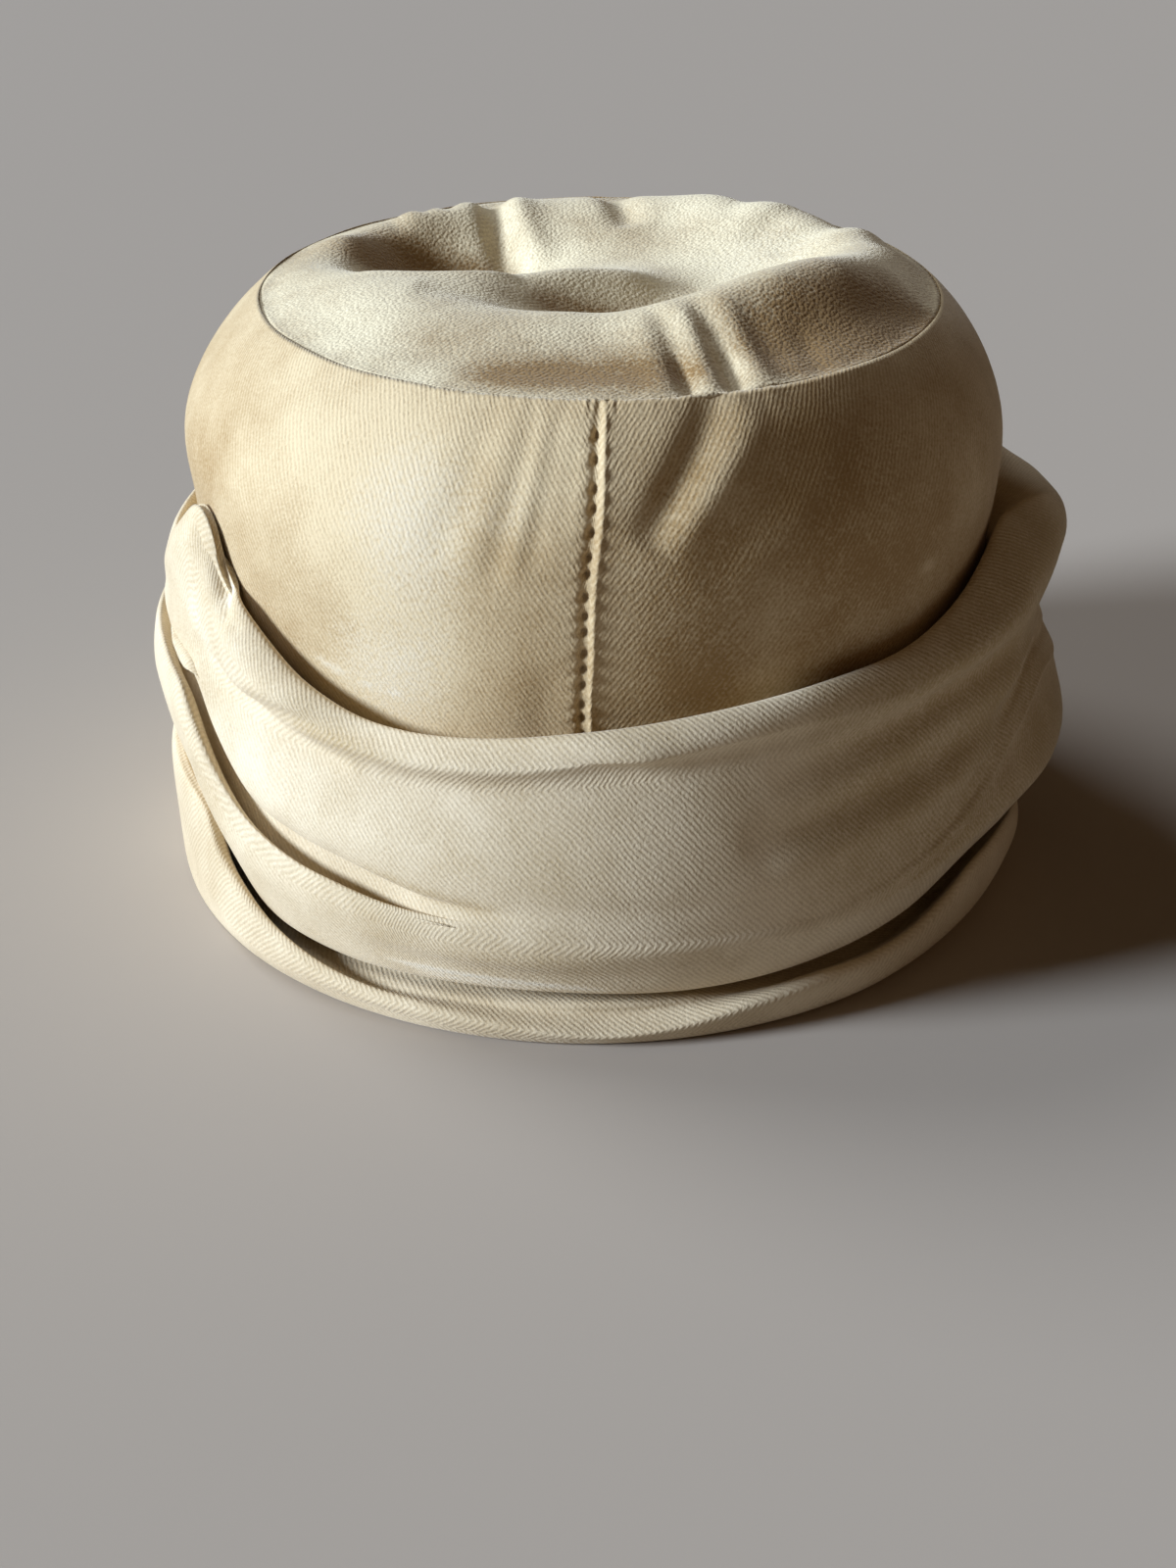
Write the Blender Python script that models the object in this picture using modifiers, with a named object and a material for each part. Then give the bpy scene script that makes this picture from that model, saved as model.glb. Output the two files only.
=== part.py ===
"""A draped turban hat: a puffed crown with a dented top, a swathed band of pleated folds, and a rim cuff.

The hat stands on its cuff. Its frame is metres with +Z up, the origin under the middle of its
bounding box at the height that it stands on, +Y the way the wearer faces and +X to the wearer's
right. All sizes below are millimetres. An azimuth is in degrees, 0 at the back and 90 at the
wearer's right. A reach is the distance from the crown's axis sideways; the hat is longer from
front to back by OVAL.
"""

import math

import bpy
import numpy as np

MM = 0.001

# Driving sizes
CROWN_AXIS = (-7.0, -1.0)  # the folds reach further at the wearer's right and front
OVAL = 1.04  # front to back over side to side
CLOTH = 1.8  # velvet on its net backing
CLEAR_OF_FACETS = 0.7  # left between pieces that touch, so that their facets stay about 0.4 apart
AROUND = 60  # facets round the hat
BAND_SPANS = (1, 1, 2, 2, 2, 1, 1, 1, 1, 1, 1, 2, 2, 1, 1)  # steps in each span of the section
CUFF_SPANS = (1, 1, 1, 1, 1, 1, 1, 1, 1, 1, 1)
TIP_SHARES = (1.0, 0.95, 0.86, 0.73, 0.57, 0.38, 0.17)  # rings of the top, seam to middle
TIP_SEAM_HEIGHT = 157.0
TIP_SEAM_REACH = 87.0
TIP_EDGE_RISE = 0.9  # the top's edge stands this far over the seam, clear of the side
LEAN = 3.1  # how far the crown's top sits towards the wearer's right
LEAN_FROM = 108.0  # the height where the lean starts

# The crown's side wall from the head opening up to the tip seam
WALL_COLUMNS = ("height", "reach")
WALL = (
    (0.0, 89.0),
    (22.0, 92.5),
    (50.0, 98.5),
    (76.0, 104.0),
    (96.0, 107.8),
    (114.0, 109.3),
    (127.0, 108.0),
    (139.0, 103.2),
    (149.0, 96.4),
    (156.4, 88.2),
)

# Heights of the soft top, right and forward of its middle; a thin plate bends through them
PLACE_COLUMNS = ("right", "forward", "height")
TIP_PLACES = (
    # the rim over the near seam, then the left and the far rim
    (-62, -38, 161.4), (-38, -62, 160.4), (-8, -72, 159.4), (24, -73, 159.4), (50, -60, 159.6), (73, -33, 160.2),
    (-76, 4, 161.0), (-70, 34, 163.0), (-52, 58, 163.6), (-36, 71, 163.0), (4, 74, 162.8), (34, 76, 163.8),
    (58, 62, 165.6), (76, 36, 165.2), (83, 12, 163.6),
    # the crest between the hollow and the basin
    (-60, -5, 162.2), (-49, -10, 162.6), (-38, -11, 162.8), (-26, -5, 161.6), (-8, 4, 159.6), (8, 8, 157.4),
    # the hollow at the left
    (-56, 16, 152.0), (-44, 22, 146.4), (-34, 34, 145.0), (-46, 42, 148.5), (-22, 24, 149.5), (-16, 44, 152.0),
    # the basin and the bright slope at its right
    (-14, -17, 155.6), (2, -14, 150.4), (14, -14, 149.6), (4, -27, 153.0), (22, -2, 150.6), (6, 30, 153.6),
    (34, 8, 153.6), (28, 34, 155.6), (54, 14, 159.2), (52, 38, 160.4), (20, 56, 159.4),
    # the crest at the basin's near side, and the steep fall beyond it
    (-26, -47, 163.4), (-8, -46, 164.2), (14, -48, 166.8), (29, -45, 169.2), (42, -38, 171.4), (58, -27, 171.8),
    (72, -14, 168.0), (34, -57, 163.0), (50, -49, 163.4), (65, -38, 163.0), (0, -60, 162.0),
)
SEAM_PLACES = 36  # places round the seam that hold the plate's edge down
SAME_PLACE = 1e-9  # keeps the logarithm finite where two places meet
PLATE_SOFTNESS = 30.0  # how freely the plate may miss a place, which keeps it smooth
TIP_PUFF = 0.6  # how far the edge puffs up just inside the seam
PUFF_SHARE, PUFF_WIDTH = 0.93, 0.05  # the puff's place and width, as shares of the way to the seam
GATHER_SHARE, GATHER_WIDTH = 0.84, 0.16  # where the gathers are deepest, and their length

# Small tucks where the top's edge is gathered into the seam
GATHER_COLUMNS = ("azimuth", "half_width", "depth")
GATHERS = ((14.0, 3.6, 2.0), (23.0, 3.6, 2.4), (-152.0, 4.0, 2.0), (-166.0, 4.5, 3.0), (174.0, 4.0, 2.2))

# Soft dents in the crown's side wall
SOFT_FOLD_COLUMNS = ("azimuth", "height", "half_turn", "half_height", "slope", "depth")
SOFT_FOLDS = (
    (-84.0, 106.0, 32.0, 15.0, 0.0, 4.0),
    (-9.0, 136.0, 4.5, 18.0, 0.0, 1.6),
    (12.0, 144.0, 5.0, 12.0, 4.0, 2.4),
    (-30.0, 118.0, 9.0, 26.0, 0.0, 1.0),
)

# The swathed band's rolled top edge, the brow of the roll, and the crease under it. The edge is
# pinched to the crown at azimuth -56 and stands out as a corner at the wearer's right.
ROLL_COLUMNS = (
    "azimuth", "ridge_height", "ridge_reach", "brow_height", "brow_reach",
    "crease_height", "crease_reach",
)
ROLL = (
    (-180, 112, 114.5, 104, 121.0, 90, 120.0),
    (-150, 107, 114.0, 101, 119.0, 88, 118.0),
    (-120, 98, 112.5, 91, 116.0, 84, 115.4),
    (-100, 93.5, 111.3, 87, 114.6, 81.5, 114.8),
    (-85, 95.5, 111.3, 87.5, 114.6, 81, 114.9),
    (-75, 101, 111.0, 94, 114.6, 86, 115.0),
    (-68, 110, 110.8, 103, 115.0, 90, 115.2),
    (-62, 116, 110.4, 107, 114.8, 88, 115.0),
    (-58.5, 112.5, 110.0, 102, 114.6, 83, 115.2),
    (-56, 106, 109.6, 98, 114.9, 79, 115.6),
    (-53, 101, 109.8, 93, 115.8, 75.5, 115.7),
    (-49.5, 99, 112.2, 90, 117.6, 73.5, 115.8),
    (-45, 94, 112.5, 86, 118.2, 71.5, 115.8),
    (-38, 86.5, 112.8, 80.5, 118.2, 70, 115.8),
    (-30, 82, 112.8, 77, 118.0, 69, 115.6),
    (-22, 80.8, 112.8, 75.5, 118.0, 68, 115.6),
    (-12, 82, 112.8, 76.5, 118.0, 69, 115.6),
    (0, 84.5, 112.8, 79, 118.0, 72, 115.8),
    (15, 88, 112.8, 82, 118.3, 74.5, 116.6),
    (30, 90.5, 113.0, 84.5, 118.8, 76, 117.2),
    (44, 92, 113.2, 86, 119.6, 75.5, 118.0),
    (56, 96.5, 112.8, 88, 121.2, 76, 119.4),
    (66, 101.5, 112.2, 91, 123.0, 77, 121.2),
    (74, 105, 113.0, 93, 125.0, 77, 122.2),
    (82, 104.5, 119.5, 93.5, 128.0, 75, 123.4),
    (90, 100.5, 126.0, 91, 130.8, 73, 125.8),
    (99, 98.5, 126.0, 91, 130.4, 74, 127.2),
    (108, 100.5, 121.0, 93, 128.6, 78, 127.2),
    (125, 111, 115.5, 101, 126.0, 86, 125.0),
    (152, 114, 115.0, 105, 123.5, 90, 122.5),
)

# The band's belly under the crease, the pleat that opens behind its second fold, and that fold
# down to where the cloth turns under. Where pleat is 0 the two are one smooth face.
BODY_COLUMNS = (
    "azimuth", "belly_height", "belly_reach", "pleat", "turn_in_height", "turn_in_reach",
    "fold_height", "fold_reach", "lower_height", "lower_reach", "turn_height", "turn_reach",
)
BODY = (
    (-180, 74, 120.5, 0, 56, 120.5, 47, 121, 37, 121.0, 16, 110.5),
    (-160, 74, 119.5, 0.5, 60, 117.5, 54, 120.2, 41, 120.8, 20, 110.5),
    (-135, 76, 118, 1, 69, 114, 64, 119, 48, 120.8, 27, 111.2),
    (-110, 78, 116, 1, 74, 112.6, 69, 117.8, 53, 119.6, 29, 110.5),
    (-90, 77.5, 115.6, 1, 74.5, 112.4, 70.5, 117.3, 56, 119.4, 30, 110.3),
    (-75, 78.5, 115.6, 1, 75, 112.4, 71.5, 117.2, 57, 119.3, 30, 110.3),
    (-67, 77, 115.9, 1, 74, 112.8, 70, 117.5, 55, 119.4, 30, 110.3),
    (-62, 75.5, 116.2, 1, 74, 113.2, 68.5, 118, 52, 119.8, 30, 110.7),
    (-58, 74, 117.0, 1, 71, 113.8, 62, 118.4, 47, 120.2, 26, 110.4),
    (-53, 66, 118, 1, 60, 114.3, 53, 118.6, 40, 120.2, 20, 111.4),
    (-47, 58, 118.5, 1, 49, 114.5, 45.2, 118.7, 34, 120.3, 15.2, 112.4),
    (-38, 54, 118.8, 1, 44.2, 114.6, 39.9, 119.0, 30, 120.3, 13, 112.8),
    (-31, 52.5, 119, 1, 42.4, 114.8, 38.0, 119.2, 28, 120, 12.8, 113.2),
    (-25, 52, 119.1, 0.88, 40.8, 116.0, 36.3, 119.3, 27, 119.9, 13.2, 113.5),
    (-19, 51, 119.2, 0.45, 39.2, 117.6, 35.0, 119.4, 26, 119.8, 13.6, 113.6),
    (-13, 50.5, 119.4, 0.15, 39.2, 118.6, 33.8, 119.7, 25.5, 119.7, 13.7, 113.5),
    (-6, 49.5, 119.5, 0, 38.8, 119.2, 32.8, 119.8, 25, 119.4, 13.6, 113.2),
    (14, 48, 120, 0, 38, 120, 31.5, 119.8, 25, 118.8, 12.3, 112.8),
    (30, 49, 120.6, 0, 39, 120.8, 32, 120.8, 26, 120.2, 13.6, 113.4),
    (44, 55, 121.4, 0, 46, 121.6, 38, 122.2, 32, 122.6, 17.4, 115.2),
    (56, 65, 122.4, 0, 56, 122, 49, 123.4, 38, 125.8, 25, 118.2),
    (66, 71, 122.8, 0, 63, 121, 56, 124.4, 41, 129.4, 26.5, 121),
    (76, 75, 122.6, 0, 69, 121.4, 61, 126, 41, 131.7, 24, 123.4),
    (90, 71, 125.4, 0, 66, 125.8, 57, 130.2, 38, 133.6, 22, 125),
    (104, 70, 126.8, 0, 64, 126.8, 55, 129.6, 38, 132.8, 21, 124.5),
    (122, 74, 125, 0, 62, 125.2, 52, 127.2, 38, 129.4, 16, 115),
    (150, 75, 122.2, 0, 58, 122.2, 48, 123.2, 37, 124.2, 14, 111.5),
)

TUCK_DEPTH = 15.0  # how far the rolled edge goes down behind its ridge
PLEAT_DEPTH = 7.5  # how far an open pleat's floor lies below its mouth
PLEAT_FLOOR_OUT = 0.7  # how far outside the mouth's inner line the floor stands
FOLD_PLY = 2.5  # how thick the second fold is at its edge

# The cuff: a folded lip outside, and a flat foot that the hat stands on. Where fall is 1 the lip
# stands up; at 0 it lies flat and its inner ply shows.
CUFF_COLUMNS = ("azimuth", "lip_height", "lip_reach", "belly_height", "belly_reach", "fall")
CUFF = (
    (-180, 22, 120.0, 8, 120.5, 0.9),
    (-135, 30, 118.5, 12, 119.5, 1.0),
    (-100, 34, 118.0, 15, 118.8, 1.0),
    (-85, 34.5, 117.4, 16, 117.2, 1.0),
    (-67, 35.5, 117.2, 13, 117.0, 1.0),
    (-60, 34, 117.2, 10, 117.8, 1.0),
    (-55, 26, 118.4, 8, 118.5, 1.0),
    (-50, 21, 119.0, 6.5, 119.2, 1.0),
    (-44, 15.6, 119.2, 5, 118.8, 1.0),
    (-37, 11.4, 119.0, 4.4, 118.2, 0.9),
    (-29, 8.9, 118.6, 3.8, 117.6, 0.7),
    (-21, 8.2, 118.4, 3, 117.4, 0.5),
    (-13, 7.2, 118.3, 2.4, 117.4, 0.3),
    (-6, 6.0, 118.4, 2.2, 117.4, 0.12),
    (2, 4.8, 118.5, 2.2, 117.4, 0.0),
    (10, 6, 118.5, 2.4, 117.5, 0.1),
    (20, 9.4, 118.8, 2.8, 117.8, 0.4),
    (30, 11.8, 119.5, 3.2, 118.5, 0.6),
    (38, 12.3, 120.0, 4, 119.3, 0.7),
    (45, 14, 120.3, 5.5, 119.8, 0.8),
    (52, 17.8, 120.8, 7, 120.3, 0.9),
    (59, 21, 121.2, 8, 120.8, 1.0),
    (69, 20, 121.8, 9, 121.5, 1.0),
    (78, 16, 122.6, 8, 122.2, 0.9),
    (92, 13, 122.8, 6, 122.4, 0.7),
    (122, 19, 123.5, 7, 122.6, 0.8),
    (150, 20.5, 121.4, 7.5, 121.4, 0.9),
)
FOOT_OUTER = 113.0
FOOT_INNER = 100.0
OPENING_REACH = 89.0  # the head opening's edge, outside

COLOURS = {
    "tip_velvet": (0.60, 0.53, 0.40, 1.0),
    "side_velvet": (0.56, 0.48, 0.35, 1.0),
    "band_velvet": (0.54, 0.46, 0.34, 1.0),
    "cuff_velvet": (0.50, 0.42, 0.31, 1.0),
}
VELVET_ROUGHNESS = 0.8


def column(table, columns, name):
    """One named column of a table, as an array."""
    return np.array([row[columns.index(name)] for row in table], float)


def smooth_through(x, knots, values):
    """A cubic through the knots whose slope at a knot is the mean of its neighbours', or flat at a peak."""
    steps = np.diff(knots)
    slopes = np.diff(values) / steps
    inner = np.where(slopes[:-1] * slopes[1:] > 0, (slopes[:-1] + slopes[1:]) / 2, 0.0)
    inner = np.clip(
        inner,
        -3 * np.minimum(abs(slopes[:-1]), abs(slopes[1:])),
        3 * np.minimum(abs(slopes[:-1]), abs(slopes[1:])),
    )
    tangents = np.concatenate([[slopes[0]], inner, [slopes[-1]]])
    i = np.clip(np.searchsorted(knots, x) - 1, 0, len(steps) - 1)
    t = (x - knots[i]) / steps[i]
    start, end = values[i], values[i + 1]
    rise, fall = tangents[i] * steps[i], tangents[i + 1] * steps[i]
    return (
        start * (1 + 2 * t) * (1 - t) ** 2
        + rise * t * (1 - t) ** 2
        + end * t**2 * (3 - 2 * t)
        - fall * t**2 * (1 - t)
    )


def round_the_hat(table, columns, name, azimuth):
    """A column's value at any azimuth; the table closes on itself."""
    knots = column(table, columns, "azimuth")
    values = column(table, columns, name)
    knots = np.concatenate([knots - 360, knots, knots + 360])
    return smooth_through(azimuth, knots, np.tile(values, 3))


def wall_reach(height):
    """How far the crown's side wall stands from the axis."""
    return smooth_through(
        np.asarray(height, float),
        column(WALL, WALL_COLUMNS, "height"),
        column(WALL, WALL_COLUMNS, "reach"),
    )


def lean(height):
    """How far to the right the crown sits at a height."""
    return LEAN * np.clip((height - LEAN_FROM) / (TIP_SEAM_HEIGHT - LEAN_FROM), 0, 1)


def place(azimuth, reach, height):
    """Points in millimetres from azimuth, reach and height."""
    turn = np.radians(azimuth)
    height = height + 0 * reach
    return np.stack([
        CROWN_AXIS[0] + lean(height) + reach * np.sin(turn),
        CROWN_AXIS[1] - reach * OVAL * np.cos(turn),
        height,
    ], -1)


def curve_through(points, spans):
    """A Catmull-Rom curve through the points, each span of it cut into its own number of steps."""
    padded = [2 * points[0] - points[1], *points, 2 * points[-1] - points[-2]]
    curve = []
    for p0, p1, p2, p3, steps in zip(padded, padded[1:], padded[2:], padded[3:], spans):
        for s in np.arange(steps) / steps:
            curve.append(
                0.5 * (2 * p1 + (p2 - p0) * s + (2 * p0 - 5 * p1 + 4 * p2 - p3) * s**2
                       + (3 * p1 - p0 - 3 * p2 + p3) * s**3)
            )
    curve.append(points[-1])
    return np.array(curve)


def velvet(name):
    """The plush cloth of one piece, as a Principled shader."""
    material = bpy.data.materials.new(name)
    material.use_nodes = True
    shader = material.node_tree.nodes["Principled BSDF"]
    shader.inputs["Base Color"].default_value = COLOURS[name]
    shader.inputs["Roughness"].default_value = VELVET_ROUGHNESS
    shader.inputs["Metallic"].default_value = 0.0
    material.diffuse_color = COLOURS[name]
    return material


def cloth_shell(name, points, faces, material, collection):
    """A wall of cloth: a sheet of faces that look outwards, given its thickness inwards."""
    mesh = bpy.data.meshes.new(name)
    mesh.from_pydata((points * MM).tolist(), [], faces)
    mesh.materials.append(velvet(material))
    mesh.shade_smooth()
    shell = bpy.data.objects.new(name, mesh)
    collection.objects.link(shell)
    wall = shell.modifiers.new("cloth", "SOLIDIFY")
    wall.thickness = CLOTH * MM
    wall.offset = -1.0
    return shell


def ring_faces(around, across):
    """The faces between rows of points that close round the hat."""
    return [
        (i * across + k, i * across + k + 1, (i + 1) % around * across + k + 1, (i + 1) % around * across + k)
        for i in range(around)
        for k in range(across - 1)
    ]


def soft_fold_depth(azimuth, height):
    """How far the side wall is dented in at an azimuth and height."""
    depth = 0.0
    for fold in SOFT_FOLDS:
        f = dict(zip(SOFT_FOLD_COLUMNS, fold))
        off = (azimuth - f["azimuth"] - f["slope"] * (height - f["height"]) / 10 + 180) % 360 - 180
        up = (height - f["height"]) / f["half_height"]
        depth = depth + f["depth"] * np.exp(-((off / f["half_turn"]) ** 2) - up**2)
    return depth


def crown_side(collection, turns):
    """The crown's bulging side band, from the tip seam down to the head opening."""
    heights = column(WALL, WALL_COLUMNS, "height")[::-1]
    rows = [place(turn, wall_reach(heights) - soft_fold_depth(turn, heights), heights) for turn in turns]
    points = np.concatenate(rows)
    faces = ring_faces(len(turns), len(heights))
    return cloth_shell("crown_side", points, faces, "side_velvet", collection)


def plate_kernel(u, v):
    """A plate's bend at the places u from a push at each of the places v."""
    squared = ((u[:, None] - v[None, :]) ** 2).sum(-1)
    return 0.5 * squared * np.log(squared + SAME_PLACE)


def tip_plate():
    """The plate through the seam and the top's places: the places and the solved weights."""
    turn = np.arange(SEAM_PLACES) * 2 * math.pi / SEAM_PLACES
    seam = np.stack([TIP_SEAM_REACH * np.sin(turn), TIP_SEAM_REACH * OVAL * np.cos(turn)], -1)
    places = np.concatenate([seam, np.array(TIP_PLACES)[:, :2]])
    heights = np.concatenate([
        np.full(SEAM_PLACES, TIP_SEAM_HEIGHT), column(TIP_PLACES, PLACE_COLUMNS, "height"), np.zeros(3),
    ])
    n = len(places)
    flat = np.hstack([np.ones((n, 1)), places])
    bend = plate_kernel(places, places) + PLATE_SOFTNESS * np.eye(n)
    return places, np.linalg.solve(np.block([[bend, flat], [flat.T, np.zeros((3, 3))]]), heights)


def tip_height(azimuth, share, plate):
    """The soft top's height at a share of the way from its middle to the seam."""
    places, weights = plate
    n = len(places)
    turn = np.radians(azimuth)
    right = share * TIP_SEAM_REACH * np.sin(turn)
    forward = -share * TIP_SEAM_REACH * OVAL * np.cos(turn)
    at = np.stack([right, forward], -1)
    height = plate_kernel(at, places) @ weights[:n] + weights[n] + at @ weights[n + 1:]
    height = height + TIP_PUFF * np.exp(-(((share - PUFF_SHARE) / PUFF_WIDTH) ** 2))
    for gather in GATHERS:
        g = dict(zip(GATHER_COLUMNS, gather))
        off = (azimuth - g["azimuth"] + 180) % 360 - 180
        near_seam = np.exp(-(((share - GATHER_SHARE) / GATHER_WIDTH) ** 2))
        height = height - g["depth"] * near_seam * np.exp(-((off / g["half_width"]) ** 2))
    return height


def crown_tip(collection, turns):
    """The soft top, gathered into the seam and dented in its middle, drawn as rings round its middle."""
    shares = np.array(TIP_SHARES)
    across = len(shares)
    plate = tip_plate()
    rows = []
    for turn in turns:
        height = tip_height(turn, shares, plate)
        height[0] = TIP_SEAM_HEIGHT + TIP_EDGE_RISE
        rows.append(place(turn, shares * TIP_SEAM_REACH, height))
    middle = place(0.0, np.zeros(1), tip_height(0.0, np.zeros(1), plate))
    points = np.concatenate([*rows, middle])
    faces = [face[::-1] for face in ring_faces(len(turns), across)]
    for i in range(len(turns)):
        inner, beside = (i + 1) * across - 1, ((i + 1) % len(turns) + 1) * across - 1
        faces.append((inner, beside, len(points) - 1))
    return cloth_shell("crown_tip", points, faces, "tip_velvet", collection)


def clear_of_wall(reach, height):
    """The reach, or where that would be inside the crown's side wall, just outside the wall."""
    return max(reach, float(wall_reach(height)) + CLEAR_OF_FACETS)


def between(start, end, share):
    """The point at a share of the way from start to end."""
    return tuple(s + (e - s) * share for s, e in zip(start, end))


def band_section(turn):
    """The band's outline at an azimuth, as (reach, height) points from its tucked edge to its foot."""
    r = {n: float(round_the_hat(ROLL, ROLL_COLUMNS, n, turn)) for n in ROLL_COLUMNS[1:]}
    b = {n: float(round_the_hat(BODY, BODY_COLUMNS, n, turn)) for n in BODY_COLUMNS[1:]}
    tuck_height = r["ridge_height"] - TUCK_DEPTH
    tuck_reach = clear_of_wall(0, tuck_height)
    pleat = b["pleat"]
    turn_in = (b["turn_in_reach"], b["turn_in_height"])
    fold = (b["fold_reach"], b["fold_height"])
    floor = (turn_in[0] + PLEAT_FLOOR_OUT, min(turn_in[1], fold[1]) - 2.0 - PLEAT_DEPTH * pleat)
    inner_ply = (fold[0] - FOLD_PLY * pleat, fold[1] - 3.6 * pleat + 1.5 * (1 - pleat))
    return [
        (tuck_reach, tuck_height),
        (clear_of_wall((tuck_reach + r["ridge_reach"]) / 2, r["ridge_height"] - 5), r["ridge_height"] - 5),
        (r["ridge_reach"], r["ridge_height"]),
        (r["brow_reach"], r["brow_height"]),
        (r["crease_reach"], r["crease_height"]),
        (b["belly_reach"], b["belly_height"]),
        (turn_in[0] + 2.4 * pleat, turn_in[1] + 2.0),
        (turn_in[0] - 1.6 * pleat, turn_in[1] - 0.8),
        between(between(turn_in, fold, 0.4), floor, pleat),
        between(between(turn_in, fold, 0.75), inner_ply, pleat),
        fold,
        (fold[0] + 1.5 * pleat + 0.3, fold[1] - 3.0),
        (b["lower_reach"], b["lower_height"]),
        (b["turn_reach"] + 2.8, b["turn_height"] + 4.4),
        (b["turn_reach"], b["turn_height"]),
        (b["turn_reach"] - 5.0, b["turn_height"] + 1.2),
    ]


def cuff_section(turn):
    """The cuff's outline: inner ply, lip, belly, the flat foot and the head opening's edge."""
    v = {n: float(round_the_hat(CUFF, CUFF_COLUMNS, n, turn)) for n in CUFF_COLUMNS[1:]}
    fall = v["fall"]
    inner_height = 9.5 * (1 - fall) + 8 * fall
    return [
        (98.5, 23.0),
        (105.0, inner_height + 1.5),
        (112.0 - 1.5 * fall, inner_height - 0.6 * fall),
        (v["lip_reach"] - 4.5 - 0.8 * (1 - fall), v["lip_height"] - 3.6 * fall + 2.2 * (1 - fall)),
        (v["lip_reach"] - 2.0 + 1.2 * (1 - fall), v["lip_height"]),
        (v["lip_reach"] + 0.2, v["lip_height"] - 3.0 * fall - 1.0 * (1 - fall)),
        (v["belly_reach"], v["belly_height"]),
        (FOOT_OUTER + 3.0, 0.5),
        (FOOT_OUTER, 0.0),
        (FOOT_INNER, 0.0),
        (OPENING_REACH + 4.5, 1.4),
        (OPENING_REACH + CLEAR_OF_FACETS, 3.2),
    ]


def swath(name, section, turns, spans, material, collection):
    """One swathed piece: its section drawn at each azimuth and given the cloth's thickness."""
    rows = []
    for turn in turns:
        outline = curve_through(np.array(section(turn), float), spans)
        rows.append(place(turn, outline[:, 0], outline[:, 1]))
    faces = ring_faces(len(turns), len(rows[0]))
    return cloth_shell(name, np.concatenate(rows), faces, material, collection)


def build():
    """Clears the scene and makes the hat's four pieces."""
    for old in list(bpy.data.objects):
        bpy.data.objects.remove(old)
    hat = bpy.data.collections.new("turban_hat")
    bpy.context.scene.collection.children.link(hat)
    turns = np.arange(AROUND) * 360.0 / AROUND
    crown_tip(hat, turns)
    crown_side(hat, turns)
    swath("swathed_band", band_section, turns, BAND_SPANS, "band_velvet", hat)
    swath("rim_cuff", cuff_section, turns, CUFF_SPANS, "cuff_velvet", hat)


build()
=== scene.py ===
# %% [markdown]
# # A draped turban hat in velvet
#
# The hat is four pieces of cloth: a soft top, a bulging side band with a hand-sewn back seam, a
# wide swath wrapped round it in folds, and a turned-up cuff at the rim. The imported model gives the
# size and place of each; this script makes the fine surface, the stitches and the finish.

# %% Load the frame
import math

import bpy
import numpy as np
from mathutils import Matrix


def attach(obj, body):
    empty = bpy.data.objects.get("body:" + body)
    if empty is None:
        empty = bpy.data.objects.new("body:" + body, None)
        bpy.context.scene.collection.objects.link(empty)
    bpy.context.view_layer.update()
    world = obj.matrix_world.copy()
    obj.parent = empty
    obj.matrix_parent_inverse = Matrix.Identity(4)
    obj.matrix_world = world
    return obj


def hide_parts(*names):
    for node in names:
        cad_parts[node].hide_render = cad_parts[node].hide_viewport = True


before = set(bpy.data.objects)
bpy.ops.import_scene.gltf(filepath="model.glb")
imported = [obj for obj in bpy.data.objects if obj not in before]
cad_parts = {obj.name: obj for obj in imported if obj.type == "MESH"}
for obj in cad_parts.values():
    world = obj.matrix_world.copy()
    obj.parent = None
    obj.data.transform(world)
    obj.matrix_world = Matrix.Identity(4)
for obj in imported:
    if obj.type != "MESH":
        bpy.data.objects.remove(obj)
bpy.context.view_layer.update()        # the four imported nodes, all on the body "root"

MM = 0.001

# %% [markdown]
# ## Camera
#
# The hat stands by itself on its cuff, seen from its back and from above. A long lens at well under
# a metre gives the same drawing as the photograph. The lens is worked out from the picture's long
# side, so it holds at any size of render.

# %% Camera
CROWN_AXIS = (-7.0, -1.0)  # the crown stands this far from the middle of the hat's outline
LOOK_HEIGHT = 9.0
LOOK_DOWN = math.radians(28)
CAMERA_DISTANCE = 685.0
PICTURE_LONG_SIDE = 1600
FOCAL_PIXELS = 2405
SENSOR = 36.0

camera_data = bpy.data.cameras.new("camera")
camera_data.sensor_width = SENSOR
camera_data.lens = SENSOR * FOCAL_PIXELS / PICTURE_LONG_SIDE
camera = bpy.data.objects.new("camera", camera_data)
camera.location = (
    CROWN_AXIS[0] * MM,
    (CROWN_AXIS[1] - CAMERA_DISTANCE * math.cos(LOOK_DOWN)) * MM,
    (LOOK_HEIGHT + CAMERA_DISTANCE * math.sin(LOOK_DOWN)) * MM,
)
camera.rotation_euler = (math.pi / 2 - LOOK_DOWN, 0, 0)
bpy.context.collection.objects.link(camera)
bpy.context.scene.camera = camera
print("lens", round(camera_data.lens, 1), "mm, camera height", round(camera.location.z, 3), "m")

# %% [markdown]
# ## Cloth as sections round the hat
#
# Each piece is swept round the hat: at every azimuth (0 at the back, 90 at the wearer's right) a
# short table gives the heights and reaches of the main lines, such as a fold's ridge. A gentle
# cubic runs each line round the hat, and a curve through the lines gives the section. A cloth
# simulation could make such folds too, but it would not put them where this hat has them.

# %% Curves through tables
OVAL = 1.04  # front to back over side to side
CLOTH = 1.8
LEAN = 3.1  # the crown's top sits this far towards the wearer's right
LEAN_FROM = 108.0
SEAM_HEIGHT = 157.0
SEAM_REACH = 87.0


def column(table, columns, name):
    """One named column of a table, as an array."""
    return np.array([row[columns.index(name)] for row in table], float)


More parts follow.
